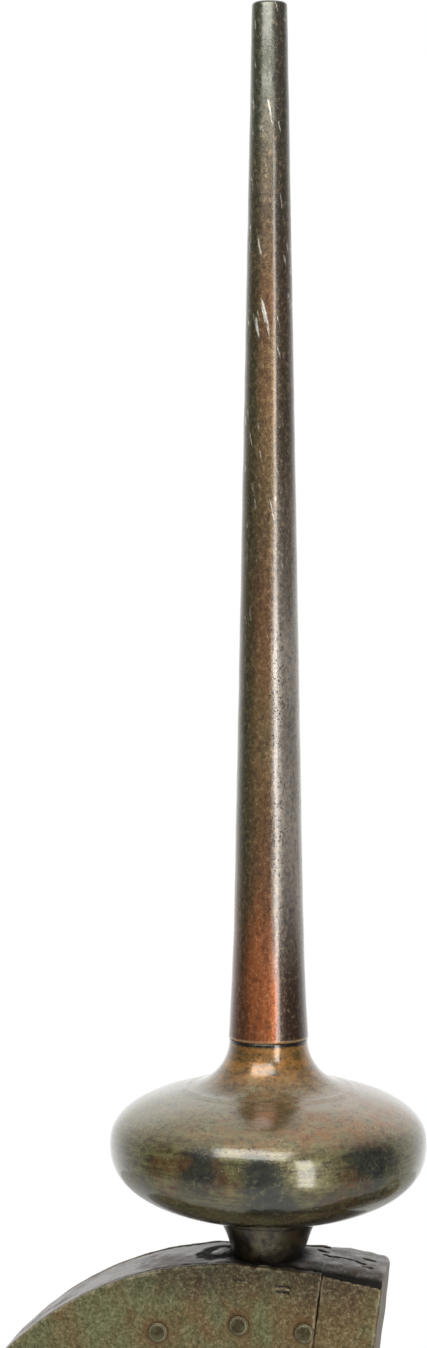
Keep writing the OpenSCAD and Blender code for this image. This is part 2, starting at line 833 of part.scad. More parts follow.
module post() {
    color([0.2, 0.24, 0.19]) difference() {
        translate([0, 0, post_foot]) cylinder(r = post_r, h = post_top - post_foot);
        translate([0, 0, post_foot - eps])
            cylinder(r = post_r - post_wall, h = post_top - post_foot + 2 * eps);
    }
}

module base_pedestal() {
    corner = 30;
    half = base_w / 2;
    cone_h = 190;
    rib_t = 16;
    rib_r = anchor_pitch / sqrt(2) - 46;
    color([0.2, 0.22, 0.18]) difference() {
        union() {
            linear_extrude(base_t) union() {
                square([base_w, base_w - 2 * corner], center = true);
                square([base_w - 2 * corner, base_w], center = true);
                for (x = [-1, 1]) for (y = [-1, 1])
                    translate([x * (half - corner), y * (half - corner)]) circle(corner);
            }
            translate([0, 0, base_t - eps]) cylinder(r1 = 104, r2 = socket_r + 5, h = cone_h + eps);
            cylinder(r = socket_r + 5, h = pedestal_h);
            translate([0, 0, pedestal_h - 30]) cylinder(r = socket_r + 12, h = 24);
            for (a = [45:90:315]) rotate(a) slab(-rib_t / 2, rib_t / 2) polygon([
                [0, base_t - 1], [rib_r, base_t - 1], [rib_r, base_t + 14],
                [socket_r + 4, base_t + cone_h], [0, base_t + cone_h]
            ]);
            for (x = [-1, 1]) for (y = [-1, 1])
                translate([x * anchor_pitch / 2, y * anchor_pitch / 2, 0])
                    cylinder(r = anchor_d / 2 + 11, h = base_t + 6);
        }
        translate([0, 0, post_foot]) cylinder(r = socket_bore_r, h = pedestal_h);
        for (x = [-1, 1]) for (y = [-1, 1])
            translate([x * anchor_pitch / 2, y * anchor_pitch / 2, -eps])
                cylinder(r = anchor_d / 2, h = base_t + 6 + 2 * eps);
        for (a = [0, 120, 240]) set_screw_hole(a, pedestal_h - 18);
    }
}

screw_r = 6;
module set_screw_hole(turn, z) {
    rotate(turn + 90) rod_x(0, z, screw_r + seat_fit, post_r, socket_r + 40);
}

module set_screws() {
    heads = [[saddle_foot + 9, socket_r + 4], [pedestal_h - 18, socket_r + 12]];
    color([0.3, 0.28, 0.24]) for (h = heads) for (a = [0, 120, 240]) rotate(a + 90) {
        rod_x(0, h[0], screw_r, post_r + 0.3, h[1] + 6);
        translate([h[1] + 6, 0, h[0]]) rotate([0, 90, 0]) cylinder(r = 10, h = 8, $fn = 6);
    }
}

// Half clamps round the post; the rear one has the boss for the fulcrum pin
module half_clamp(way) {
    gap = 1;
    difference() {
        union() {
            translate([0, 0, fulcrum_z - clamp_h / 2]) cylinder(r = clamp_r, h = clamp_h);
            for (side = [-1, 1]) translate([side * (clamp_r + clamp_ear / 2 - 4), 0, fulcrum_z])
                cube([clamp_ear + 8, 28, clamp_h], center = true);
        }
        translate([0, 0, fulcrum_z - clamp_h]) cylinder(r = socket_bore_r, h = 2 * clamp_h);
        translate([-200, way > 0 ? -200 + gap : -gap, fulcrum_z - clamp_h])
            cube([400, 200, 2 * clamp_h]);
        for (side = [-1, 1]) for (v = [-15, 15])
            rod_y(side * clamp_bolt_x, fulcrum_z + v, 5 + bolt_fit, -40, 40);
    }
}

boss_y = web_y0 - side_gap;
module fulcrum_clamp() {
    color([0.22, 0.23, 0.19]) difference() {
        union() {
            half_clamp(1);
            difference() {
                rod_y(spindle_x, fulcrum_z, 26, 20, boss_y);
                translate([0, 0, fulcrum_z - clamp_h]) cylinder(r = socket_bore_r, h = 2 * clamp_h);
            }
        }
        rod_y(spindle_x, fulcrum_z, fulcrum_d / 2 + seat_fit, post_r - 6, boss_y + 1);
    }
}

module clamp_cap() {
    color([0.22, 0.23, 0.19]) half_clamp(-1);
}

module clamp_bolts() {
    color([0.3, 0.28, 0.24]) for (side = [-1, 1]) for (v = [-15, 15])
        through_bolt(side * clamp_bolt_x, fulcrum_z + v, 10, -14, 14);
}

module fulcrum_pin() {
    foot = sqrt(pow(post_r, 2) - pow(abs(spindle_x) - fulcrum_d / 2, 2)) + 0.6;
    color([0.5, 0.48, 0.45]) {
        rod_y(spindle_x, fulcrum_z, fulcrum_d / 2, foot, web_y1 + 12);
        rod_y(spindle_x, fulcrum_z, fulcrum_d / 2 + 7, web_y1 + side_gap, web_y1 + 7);
    }
}

// ---- wire pulley, turning on an axis along X ----

pulley_w = 16;
pulley_pin_r = 8;
pulley_bolt_ys = [-56, 56];

module pulley_bracket() {
    ear = 6;
    in = pulley_w / 2 + side_gap;
    color([0.2, 0.22, 0.18]) translate([link_pin_x, pulley_y, 0]) difference() {
        union() {
            box([-20, -70, base_t], [20, 70, base_t + 8]);
            for (x0 = [in, -in - ear]) translate([x0, 0, 0]) {
                rod_x(0, pulley_z, 18, 0, ear);
                rotate([90, 0, 90]) linear_extrude(ear) polygon([
                    [-34, base_t + 7], [34, base_t + 7], [17, pulley_z + 3], [-17, pulley_z + 3]
                ]);
            }
        }
        rod_x(0, pulley_z, pulley_pin_r + seat_fit, -30, 30);
        for (y = pulley_bolt_ys) translate([0, y, base_t - 1]) cylinder(r = 6 + bolt_fit, h = 20);
    }
}

module pulley_bolts() {
    color([0.3, 0.28, 0.24]) translate([link_pin_x, pulley_y, 0]) for (y = pulley_bolt_ys)
        translate([0, y, base_t + 0.1]) {
            cylinder(r = 6, h = 8);
            translate([0, 0, 8]) cylinder(r = 10.5, h = 8, $fn = 6);
        }
}

module pulley_wheel() {
    h = pulley_w / 2;
    hub_r = 16;
    bottom = groove_r - 4;
    color([0.25, 0.24, 0.2]) translate([link_pin_x, pulley_y, pulley_z]) rotate([0, 90, 0])
        difference() {
            rotate_extrude() polygon([
                [pulley_pin_r + run_fit, -h], [hub_r, -h], [hub_r, -3], [bottom - 4, -3],
                [bottom - 4, -h], [pulley_r, -h], [pulley_r, -h + 2], [groove_r, -1.5],
                [groove_r, 1.5], [pulley_r, h - 2], [pulley_r, h], [bottom - 4, h],
                [bottom - 4, 3], [hub_r, 3], [hub_r, h], [pulley_pin_r + run_fit, h]
            ]);
            for (a = [0:60:300]) rotate(a) translate([29, 0, -h]) cylinder(r = 9, h = pulley_w);
        }
}

module pulley_pin() {
    out = pulley_w / 2 + side_gap + 6;
    color([0.5, 0.48, 0.45]) {
        rod_x(pulley_y, pulley_z, pulley_pin_r, link_pin_x - out - 4, link_pin_x + out + 0.5);
        rod_x(pulley_y, pulley_z, pulley_pin_r + 4, link_pin_x + out + 0.5, link_pin_x + out + 5);
    }
}

// ---- lamp ----

// Two pairs of bolts square to the sloping end of the casing, each at [y, z]
function bracket_bolt_places() =
    [for (y = [-15, 15]) for (z = [shelf_top - 40, shelf_top + 34]) [y, z]];
function end_x(z) = spindle_x + end_u(z - spindle_z);

// Places its children on the end's sloping face at (y, z), with X square to the face
module on_end(p) {
    translate([end_x(p[1]), p[0], p[1]]) rotate([0, end_slope, 0]) children();
}

module bracket_bolt_hole(p) {
    on_end(p) rod_x(0, 0, 5 + bolt_fit, -20, 30);
}

module lamp_bracket() {
    flange_h = 124;
    flange_z = shelf_top - 68;
    y = head_y - 8;
    color([0.2, 0.22, 0.18]) difference() {
        union() {
            on_end([0, flange_z]) box([seat_fit, -y, 0], [8, y, flange_h]);
            translate([0, 0, shelf_top - shelf_t]) linear_extrude(shelf_t) polygon([
                [end_x(shelf_top) + 4, -y], [end_x(shelf_top) + 4, y],
                [tongue_x - 8, lamp_y1 - 8], [lamp_x + lamp_w / 2 - 4, lamp_y1 - 8],
                [lamp_x + lamp_w / 2 - 4, lamp_y0 + 2], [tongue_x - 8, lamp_y0 - 6]
            ]);
            slab(-5, 5) polygon([
                [end_x(flange_z + 10) + 5, flange_z + 10], [end_x(shelf_top) + 5, shelf_top - 3],
                [lamp_x + 20, shelf_top - 3], [lamp_x + 20, shelf_top - 14]
            ]);
            box(
                [tongue_x, tongue_y - tongue_w / 2, shelf_top - 2],
                [tongue_x + tongue_t, tongue_y + tongue_w / 2, shelf_top + lamp_lift - 6]
            );
        }
        for (p = bracket_bolt_places()) bracket_bolt_hole(p);
    }
}

module bracket_bolts() {
    color([0.3, 0.28, 0.24]) for (p = bracket_bolt_places()) on_end(p) {
        rod_x(0, 0, 5, -12, 8.1);
        translate([8.1, 0, 0]) rotate([0, 90, 0]) cylinder(r = 9.2, h = 7, $fn = 6);
        translate([-13, 0, 0]) rotate([0, 90, 0]) cylinder(r = 9.2, h = 6.5, $fn = 6);
    }
}

// The case is a folded box, open behind for the door, with a slide that drops over the tongue
module lamp_case() {
    x0 = lamp_x - lamp_w / 2;
    x1 = lamp_x + lamp_w / 2;
    slide_z0 = lamp_z0 + 4;
    slide_z1 = lamp_z0 + 64;
    fit = 0.5;
    color([0.16, 0.18, 0.16]) difference() {
        union() {
            difference() {
                box([x0, lamp_y0, lamp_z0], [x1, lamp_y1, lamp_z1]);
                box(
                    [x0 + lamp_wall, lamp_y0 + lamp_wall, lamp_z0 + lamp_wall],
                    [x1 - lamp_wall, lamp_y1 + 1, lamp_z1 - lamp_wall]
                );
            }
            box(
                [tongue_x - 5, tongue_y - tongue_w / 2 - 5, slide_z0],
                [x0 + 0.5, tongue_y + tongue_w / 2 + 5, slide_z1]
            );
            for (z = door_knuckles()) rod_z(door_pin_x, door_pin_y, 4, z[0], z[1]);
            for (z = door_knuckles())
                box([x1 - lamp_wall, lamp_y1 - 6, z[0]], [x1 + 3, door_pin_y, z[1]]);
        }
        box(
            [tongue_x - fit, tongue_y - tongue_w / 2 - fit, slide_z0 - 1],
            [tongue_x + tongue_t + fit, tongue_y + tongue_w / 2 + fit, slide_z1 + 1]
        );
        rod_y(lamp_x, spindle_z, lens_d / 2, lamp_y0 - 1, lamp_y0 + lamp_wall + 1);
        translate([lamp_x, lamp_cy(), lamp_z1 - 5]) cylinder(r = 34, h = 10);
        rod_x(lamp_cy(), knob_z, 3 + run_fit, x1 - 6, x1 + 6);
        rod_z(door_pin_x, door_pin_y, 1.5 + seat_fit, lamp_z0 - 1, lamp_z1 + 1);
    }
}

function lamp_cy() = (lamp_y0 + lamp_y1) / 2;
function door_knuckles() = [[lamp_z0 + 12, lamp_z0 + 32], [lamp_z1 - 32, lamp_z1 - 12]];

// A round bar along Z at (x, y)
module rod_z(x, y, r, z0, z1) {
    translate([x, y, z0]) cylinder(r = r, h = z1 - z0);
}

module lamp_chimney() {
    color([0.16, 0.18, 0.16]) translate([lamp_x, lamp_cy(), lamp_z1]) {
        rotate_extrude() polygon([
            [33, 0.2], [56, 0.2], [56, 4], [39, 24], [37, 24], [37, 58], [35, 58], [35, 22], [52, 3],
            [33, 3]
        ]);
        rotate_extrude() polygon([
            [0, 70], [46, 60], [50, 60], [50, 63], [30, 76], [12, 82], [0, 84]
        ]);
        for (a = [45:90:315]) rotate(a) box([35, -3, 50], [37, 3, 66]);
    }
}

// A strap hoop over the chimney, riveted to the case's sides
module lamp_handle() {
    out = lamp_w / 2;
    t = 3;
    top = 116;
    r = 30;
    y = lamp_cy();
    color([0.3, 0.26, 0.16]) translate([lamp_x, 0, lamp_z1]) slab(y - 9, y + 9) difference() {
        union() {
            translate([-out - t, -40]) square([2 * (out + t), top + 40 - r]);
            translate([-out - t + r, top - r]) circle(r);
            translate([out + t - r, top - r]) circle(r);
            translate([-out - t + r, top - r - 1]) square([2 * (out + t - r), r + 1]);
        }
        translate([-out - 0.1, -41]) square([2 * out + 0.2, top + 41 - r]);
        translate([-out + r - t, top - r]) circle(r - t);
        translate([out - r + t, top - r]) circle(r - t);
        translate([-out + r - t, top - r - 1]) square([2 * (out - r + t), r + 1 - t]);
    }
}

module lens_ring() {
    y0 = lamp_y0 - 22;
    color([0.45, 0.36, 0.2]) difference() {
        union() {
            rod_y(lamp_x, spindle_z, lens_d / 2 + 5, y0, lamp_y0);
            rod_y(lamp_x, spindle_z, lens_d / 2 + 9, y0 - 3, y0 + 5);
            rod_y(lamp_x, spindle_z, lens_d / 2 + 9, lamp_y0 - 3, lamp_y0);
        }
        rod_y(lamp_x, spindle_z, lens_d / 2 + 0.2, y0 + 2, lamp_y0 + 1);
        rod_y(lamp_x, spindle_z, lens_d / 2 - 4, y0 - 4, y0 + 3);
    }
}

// Bull's-eye lens held behind the ring's lip
module lamp_lens() {
    bulge_r = 84;
    y = lamp_y0 - 20;
    color([0.85, 0.9, 0.85, 0.5]) intersection() {
        rod_y(lamp_x, spindle_z, lens_d / 2, y + 0.2, y + 16);
        translate([lamp_x, y + bulge_r - 12, spindle_z]) sphere(r = bulge_r, $fn = 120);
        translate([lamp_x, 0, spindle_z]) cube([lens_d, 200, lens_d], center = true);
    }
}

module lamp_door() {
    gap = 0.5;
    x0 = lamp_x - lamp_w / 2 + 1;
    x1 = lamp_x + lamp_w / 2 - 3;
    knuckle = [lamp_z0 + 33, lamp_z1 - 33];
    color([0.17, 0.19, 0.17]) difference() {
        union() {
            box([x0, door_y + gap, lamp_z0 + 2], [x1, door_y + gap + 2, lamp_z1 - 2]);
            box([x1 - 2, door_y + gap, knuckle[0]], [door_pin_x, door_y + gap + 2, knuckle[1]]);
            rod_z(door_pin_x, door_pin_y, 4, knuckle[0], knuckle[1]);
            rod_y(x0 + 14, spindle_z, 4, door_y + gap + 2, door_y + gap + 12);
            rod_y(x0 + 14, spindle_z, 9, door_y + gap + 12, door_y + gap + 17);
        }
        rod_z(door_pin_x, door_pin_y, 1.5 + run_fit, lamp_z0, lamp_z1);
    }
}

module door_pin() {
    color([0.5, 0.42, 0.25]) {
        rod_z(door_pin_x, door_pin_y, 1.5, lamp_z0 + 10, lamp_z1 - 10);
        rod_z(door_pin_x, door_pin_y, 3, lamp_z1 - 10, lamp_z1 - 8);
    }
}

// Oil font with its round burner and wick tube
module oil_font() {
    color([0.6, 0.47, 0.22]) translate([lamp_x, lamp_cy(), lamp_z0 + lamp_wall + 0.2])
        difference() {
            union() {
                cylinder(r = 44, h = 34);
                translate([0, 0, 34]) cylinder(r1 = 44, r2 = 18, h = 8);
                translate([0, 0, 42]) cylinder(r = 17, h = 20);
                translate([0, 0, 62]) cylinder(r1 = 17, r2 = 8, h = 8);
            }
            rod_x(0, knob_z - lamp_z0 - lamp_wall - 0.2, 3 + run_fit, 10, 30);
        }
}

module wick_knob() {
    x1 = lamp_x + lamp_w / 2;
    color([0.6, 0.47, 0.22]) {
        rod_x(lamp_cy(), knob_z, 3, lamp_x + 11, x1 + 4);
        rod_x(lamp_cy(), knob_z, 10, x1 + 4, x1 + 11);
    }
}

spike();
ball();
ball_seat();
finial_rod();
finial_washer();
finial_nut();
front_cheek();
back_cheek();
end_bar();
rim_band();
rim_angles();
head_rivets();
head_saddle();
saddle_bolts();
spindle_bushes();
stop_studs();
spindle();
spindle_nut();
spectacle_plate();
arm_blade();
arm_stiffener();
arm_bolts();
red_glass();
green_glass();
glass_rings();
ring_screws();
crank();
crank_pin();
down_rod();
upper_fork();
lower_fork();
rod_lock_nuts();
balance_lever();
balance_weight();
weight_screw();
lever_pin();
wire_link();
link_pin();
post();
base_pedestal();
set_screws();
fulcrum_clamp();
clamp_cap();
clamp_bolts();
fulcrum_pin();
pulley_bracket();
pulley_bolts();
pulley_wheel();
pulley_pin();
lamp_bracket();
bracket_bolts();
lamp_case();
lamp_chimney();
lamp_handle();
lens_ring();
lamp_lens();
lamp_door();
door_pin();
oil_font();
wick_knob();
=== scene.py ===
import bpy, bmesh, json, math
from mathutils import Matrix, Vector, noise

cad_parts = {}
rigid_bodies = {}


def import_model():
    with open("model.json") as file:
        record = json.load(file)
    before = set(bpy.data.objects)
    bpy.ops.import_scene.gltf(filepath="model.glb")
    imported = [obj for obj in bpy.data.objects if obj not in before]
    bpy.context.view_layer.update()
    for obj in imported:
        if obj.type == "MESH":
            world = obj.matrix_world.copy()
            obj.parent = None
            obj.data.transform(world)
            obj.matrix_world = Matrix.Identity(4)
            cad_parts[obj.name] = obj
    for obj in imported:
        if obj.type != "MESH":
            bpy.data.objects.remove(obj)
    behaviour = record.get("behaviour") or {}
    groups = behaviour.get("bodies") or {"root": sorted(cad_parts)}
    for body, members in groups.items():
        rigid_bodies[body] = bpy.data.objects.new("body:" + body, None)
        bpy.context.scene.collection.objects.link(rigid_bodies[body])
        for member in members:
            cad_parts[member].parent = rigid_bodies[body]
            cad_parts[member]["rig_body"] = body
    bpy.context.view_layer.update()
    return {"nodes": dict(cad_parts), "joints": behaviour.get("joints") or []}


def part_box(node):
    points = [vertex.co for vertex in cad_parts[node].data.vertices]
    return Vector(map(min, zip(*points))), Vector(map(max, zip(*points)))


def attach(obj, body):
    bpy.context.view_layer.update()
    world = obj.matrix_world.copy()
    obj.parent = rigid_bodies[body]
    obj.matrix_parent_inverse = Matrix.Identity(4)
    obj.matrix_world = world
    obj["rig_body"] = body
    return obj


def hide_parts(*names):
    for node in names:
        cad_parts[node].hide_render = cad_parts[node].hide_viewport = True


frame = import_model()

nodes = frame["nodes"]
spindle = Vector(next(j["pos_m"] for j in frame["joints"] if j["name"] == "arm_turn"))
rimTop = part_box("rim_band")[1].z
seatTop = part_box("ball_seat")[1].z
spikeFoot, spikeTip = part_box("spike")[0].z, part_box("spike")[1].z
print("frame loaded:", len(nodes), "nodes")


def paint(code):
    # colour picker code to the linear values that shaders want
    parts = [int(code[i:i + 2], 16) / 255 for i in (0, 2, 4)]
    linear = [p / 12.92 if p < 0.04045 else ((p + 0.055) / 1.055) ** 2.4 for p in parts]
    return tuple(linear) + (1.0,)


class Wire:
    # a socket that takes part in sums
    def __init__(self, finish, socket):
        self.finish = finish
        self.socket = socket

    def maths(self, operation, *values, clamp=False):
        return self.finish.node("ShaderNodeMath", {"operation": operation, "use_clamp": clamp}, values)

    def __add__(self, other):
        return self.maths("ADD", self, other)

    def __radd__(self, other):
        return self.maths("ADD", other, self)

    def __sub__(self, other):
        return self.maths("SUBTRACT", self, other)

    def __rsub__(self, other):
        return self.maths("SUBTRACT", other, self)

    def __mul__(self, other):
        return self.maths("MULTIPLY", self, other)

    def __rmul__(self, other):
        return self.maths("MULTIPLY", other, self)

    def __truediv__(self, other):
        return self.maths("DIVIDE", self, other)

    def __rtruediv__(self, other):
        return self.maths("DIVIDE", other, self)


class Finish:
    # node tree of one material or world
    def __init__(self, owner):
        self.owner = owner
        owner.use_nodes = True
        self.tree = owner.node_tree
        self.tree.nodes.clear()

    def node(self, kind, settings=None, inputs=(), out=0):
        made = self.tree.nodes.new(kind)
        for key, value in (settings or {}).items():
            if key == "stops":
                ramp = made.color_ramp
                while len(ramp.elements) < len(value):
                    ramp.elements.new(0.5)
                for element, (place, colour) in zip(ramp.elements, value):
                    element.position = place
                    element.color = colour
            else:
                setattr(made, key, value)
        named = inputs.items() if isinstance(inputs, dict) else enumerate(inputs)
        for key, value in named:
            if isinstance(value, Wire):
                self.tree.links.new(value.socket, made.inputs[key])
            else:
                made.inputs[key].default_value = value
        return Wire(self, made.outputs[out]) if made.outputs else None

    def place(self):
        return self.node("ShaderNodeTexCoord", out="Object")

    def stretched(self, vector, scale):
        return self.node("ShaderNodeVectorMath", {"operation": "MULTIPLY"}, [vector, scale])

    def turned(self, vector, angles):
        return self.node("ShaderNodeVectorRotate", {"rotation_type": "EULER_XYZ"},
                         {"Vector": vector, "Rotation": [math.radians(a) for a in angles]})

    def axis(self, vector, letter):
        return self.node("ShaderNodeSeparateXYZ", inputs=[vector], out="XYZ".index(letter))

    def noise(self, vector, scale, detail=4.0, rough=0.55, warp=0.0):
        return self.node("ShaderNodeTexNoise", {"noise_dimensions": "3D"},
                         {"Vector": vector, "Scale": scale, "Detail": detail,
                          "Roughness": rough, "Distortion": warp})

    def cells(self, vector, scale):
        return self.node("ShaderNodeTexVoronoi", {"feature": "F1"},
                         {"Vector": vector, "Scale": scale, "Randomness": 1.0}, out="Distance")

    def between(self, value, low, high):
        # 0 below low and 1 above high, with soft ends; low may be the larger
        return self.node("ShaderNodeMapRange", {"interpolation_type": "SMOOTHSTEP", "clamp": True},
                         [value, low, high, 0.0, 1.0])

    def blend(self, share, first, second):
        # inputs 6 and 7 and output 2 are the colour ones
        return self.node("ShaderNodeMix", {"data_type": "RGBA", "blend_type": "MIX", "clamp_factor": True},
                         {0: share, 6: first, 7: second}, out=2)

    def mottled(self, share, codes):
        # two shades of one colour, mixed
        return self.blend(share, *map(paint, codes))

    def laid(self, share, under, code):
        # a colour laid over another where share says
        return self.blend(share, under, paint(code))

    def ramp(self, value, stops):
        return self.node("ShaderNodeValToRGB", {"stops": stops}, [value])

    def bump(self, height, depth, strength=1.0, below=None):
        links = {"Height": height, "Distance": depth, "Strength": strength}
        if below is not None:
            links["Normal"] = below
        return self.node("ShaderNodeBump", inputs=links)

    def softened(self, width):
        # surface direction with every sharp edge rounded to this width
        return self.node("ShaderNodeBevel", {"samples": 4}, {"Radius": width})

    def edges(self, width):
        # 1 along sharp edges, 0 on the flats
        true = self.node("ShaderNodeNewGeometry", out="Normal")
        alike = self.node("ShaderNodeVectorMath", {"operation": "DOT_PRODUCT"},
                          [self.softened(width), true], out="Value")
        return self.between(alike, 0.995, 0.80)

    def cornerShadeAndDust(self, reach):
        # 1 deep in corners and joints, 0 in the open; most finishes paint shade there with it, the glass a
        # thicker film of dust
        openness = self.node("ShaderNodeAmbientOcclusion", {"samples": 6}, {"Distance": reach}, out="AO")
        return self.between(openness, 0.85, 0.35)

    def tornPlace(self, vector, scale, reach):
        # the place shifted by noise, so that what is laid out by it gets ragged edges
        shift = self.node("ShaderNodeTexNoise", {},
                          {"Vector": vector, "Scale": scale, "Detail": 5.0}, out="Color")
        centred = self.node("ShaderNodeVectorMath", {"operation": "SUBTRACT"}, [shift, (0.5, 0.5, 0.5)])
        moved = self.stretched(centred, (reach, reach, reach))
        return self.node("ShaderNodeVectorMath", {"operation": "ADD"}, [vector, moved])

    def stroke(self, vector, start, end, width):
        # 1 on the line between two points given as x and height, 0 beyond the width
        along = Vector((end[0] - start[0], 0, end[1] - start[1]))
        flat = self.stretched(vector, (1, 0, 1))
        away = self.node("ShaderNodeVectorMath", {"operation": "SUBTRACT"},
                         [flat, (start[0], 0, start[1])])
        reach = self.node("ShaderNodeVectorMath", {"operation": "DOT_PRODUCT"},
                          [away, tuple(along)], out="Value")
        share = self.node("ShaderNodeMapRange", {"clamp": True}, [reach, 0.0, along.length_squared, 0.0, 1.0])
        onLine = self.node("ShaderNodeVectorMath", {"operation": "MULTIPLY"}, [tuple(along), share])
        gap = self.node("ShaderNodeVectorMath", {"operation": "DISTANCE"}, [away, onLine], out="Value")
        return self.between(gap, width, width * 0.3)

    def spot(self, vector, centre, radius):
        # 1 at the centre, fading to 0 at the radius
        apart = self.node("ShaderNodeVectorMath", {"operation": "DISTANCE"}, [vector, centre], out="Value")
        return self.between(apart, radius, radius * 0.35)

    def surface(self, **sockets):
        # baseColor=... goes to the socket called Base Color, and so on
        names = {key: "".join(" " + c if c.isupper() else c for c in key).title() for key in sockets}
        shader = self.node("ShaderNodeBsdfPrincipled", inputs={names[k]: v for k, v in sockets.items()})
        self.node("ShaderNodeOutputMaterial", inputs={"Surface": shader})
        return self.owner


def newFinish(name):
    return Finish(bpy.data.materials.new(name))


view = {
    "distance": 1.806,      # from the post's axis, in metres
    "side": 8.9,            # degrees to the right of straight ahead
    "above": 0.4785,        # above the casing's top
    "turn": 10.0355,        # degrees that the lens looks to the left of +Y
    "dip": 3.148,           # degrees below level
    "lens": 74.78, "sensor": 36,
    "nearest": 0.05,
}


def addCamera():
    side, turn, dip = (math.radians(view[k]) for k in ("side", "turn", "dip"))
    camera = bpy.data.objects.new("camera", bpy.data.cameras.new("camera"))
    bpy.context.scene.collection.objects.link(camera)
    camera.location = (math.sin(side) * view["distance"], -math.cos(side) * view["distance"],
                       rimTop + view["above"])
    ahead = Vector((-math.sin(turn) * math.cos(dip), math.cos(turn) * math.cos(dip), -math.sin(dip)))
    camera.rotation_euler = ahead.to_track_quat("-Z", "Y").to_euler()
    camera.data.lens = view["lens"]
    camera.data.sensor_width = view["sensor"]
    camera.data.clip_start = view["nearest"]
    camera.data.dof.use_dof = False
    bpy.context.scene.camera = camera
    bpy.context.scene.view_settings.view_transform = "Standard"


# "round" is in degrees from the front to the right, "power" in watts, and "aim" is a height
softBoxes = {
    "topBox": dict(round=-7, reach=1.05, height=2.99, width=1.40, tall=0.75,
                   power=17.5, aim=1.78, shines=True),
    "stripBox": dict(round=35, reach=1.5, height=1.83, width=0.34, tall=1.65,
                     power=13, aim=1.83, shines=True),
    "fillBox": dict(round=6, reach=3.2, height=2.3, width=2.2, tall=2.2,
                    power=44, aim=1.2, shines=False),
}


def addSoftBoxes():
    for name, box in softBoxes.items():
        lamp = bpy.data.lights.new(name, "AREA")
        lamp.shape, lamp.size, lamp.size_y = "RECTANGLE", box["width"], box["tall"]
        lamp.energy = box["power"]
        holder = bpy.data.objects.new(name, lamp)
        bpy.context.scene.collection.objects.link(holder)
        turn = math.radians(box["round"])
        holder.location = (math.sin(turn) * box["reach"], -math.cos(turn) * box["reach"], box["height"])
        aim = Vector((0, 0, box["aim"])) - holder.location
        holder.rotation_euler = aim.to_track_quat("-Z", "Y").to_euler()
        holder.visible_camera = False
        holder.visible_glossy = box["shines"]


# how bright the walls are, from behind the signal (0) round to its front (1)
room = {
    "walls": [(0.0, 1.0), (0.13, 1.0), (0.30, 0.55), (0.46, 0.13), (0.75, 0.13 * 1.3), (1.0, 0.30)],
    "ceiling": 0.75, "seen": 1.0,
}


def grey(value):
    return (value, value, value, 1)


def addRoom():
    world = bpy.data.worlds.new("studio")
    bpy.context.scene.world = world
    air = Finish(world)
    direction = air.node("ShaderNodeTexCoord", out="Generated")
    side = math.radians(view["side"])
    facing = air.node("ShaderNodeVectorMath", {"operation": "DOT_PRODUCT"},
                      [direction, (math.sin(side), -math.cos(side), 0)], out="Value")
    walls = [(stop, grey(level)) for stop, level in room["walls"]]
    around = air.ramp(facing * 0.5 + 0.5, walls)
    overhead = air.between(air.axis(direction, "Z"), 0.45, 0.95)
    glow = air.blend(overhead, around, grey(room["ceiling"]))
    seen = air.node("ShaderNodeLightPath", out="Is Camera Ray")
    light = air.node("ShaderNodeBackground", inputs=[glow, 1.0])
    backdrop = air.node("ShaderNodeBackground", inputs=[grey(room["seen"]), 1.0])
    mixed = air.node("ShaderNodeMixShader", inputs=[seen, light, backdrop])
    air.node("ShaderNodeOutputWorld", inputs=[mixed])


floorStyle = {"radius": 4.5, "colour": "E9E8E5", "marks": "DEDDDA", "markSize": 3.0, "roughness": 0.8,
              "sides": 96}


def addFloor():
    mesh = bpy.data.meshes.new("floor")
    disc = bmesh.new()
    bmesh.ops.create_circle(disc, cap_ends=True, segments=floorStyle["sides"], radius=floorStyle["radius"])
    disc.to_mesh(mesh)
    disc.free()
    floor = bpy.data.objects.new("floor", mesh)
    bpy.context.scene.collection.objects.link(floor)
    finish = newFinish("floor")
    grain = finish.noise(finish.place(), floorStyle["markSize"])
    colour = finish.blend(grain * 0.25, paint(floorStyle["colour"]), paint(floorStyle["marks"]))
    mesh.materials.append(finish.surface(baseColor=colour, roughness=floorStyle["roughness"]))


addCamera()
addSoftBoxes()
addRoom()
addFloor()
print("camera, light and floor in place")


def addPiece(name, mesh, finish, body="mast", instead=()):
    piece = bpy.data.objects.new(name, mesh)
    bpy.context.scene.collection.objects.link(piece)
    mesh.materials.append(finish)
    for face in mesh.polygons:
        face.use_smooth = True
    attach(piece, body)
    if instead:
        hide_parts(*instead)
    return piece


def spun(name, outline, steps):
    # closed solid of revolution round Z from (radius, height) points, its first and last on the axis
    mesh = bmesh.new()
    rings = []
    for radius, height in outline[1:-1]:
        rings.append([mesh.verts.new((radius * math.cos(a), radius * math.sin(a), height))
                      for a in (2 * math.pi * k / steps for k in range(steps))])
    foot, tip = mesh.verts.new((0, 0, outline[0][1])), mesh.verts.new((0, 0, outline[-1][1]))
    for k in range(steps):
        n = (k + 1) % steps
        mesh.faces.new((foot, rings[0][n], rings[0][k]))
        mesh.faces.new((tip, rings[-1][k], rings[-1][n]))
        for low, high in zip(rings, rings[1:]):
            mesh.faces.new((low[k], low[n], high[n], high[k]))
    made = bpy.data.meshes.new(name)
    mesh.to_mesh(made)
    mesh.free()
    return made


def reshaped(mesh, change):
    # moves each point by what change(place, facing) gives
    mesh.update()
    normals = [v.normal.copy() for v in mesh.vertices]
    moves = [change(v.co, n) for v, n in zip(mesh.vertices, normals)]
    for vertex, move in zip(mesh.vertices, moves):
        vertex.co += move
    mesh.update()


def lumps(depth, size, seed):
    # gentle unevenness of a hand-finished casting
    shift = Vector((seed, 1.7 * seed, 2.3 * seed))
    return lambda place, facing: facing * (noise.noise(place / size + shift) * depth)


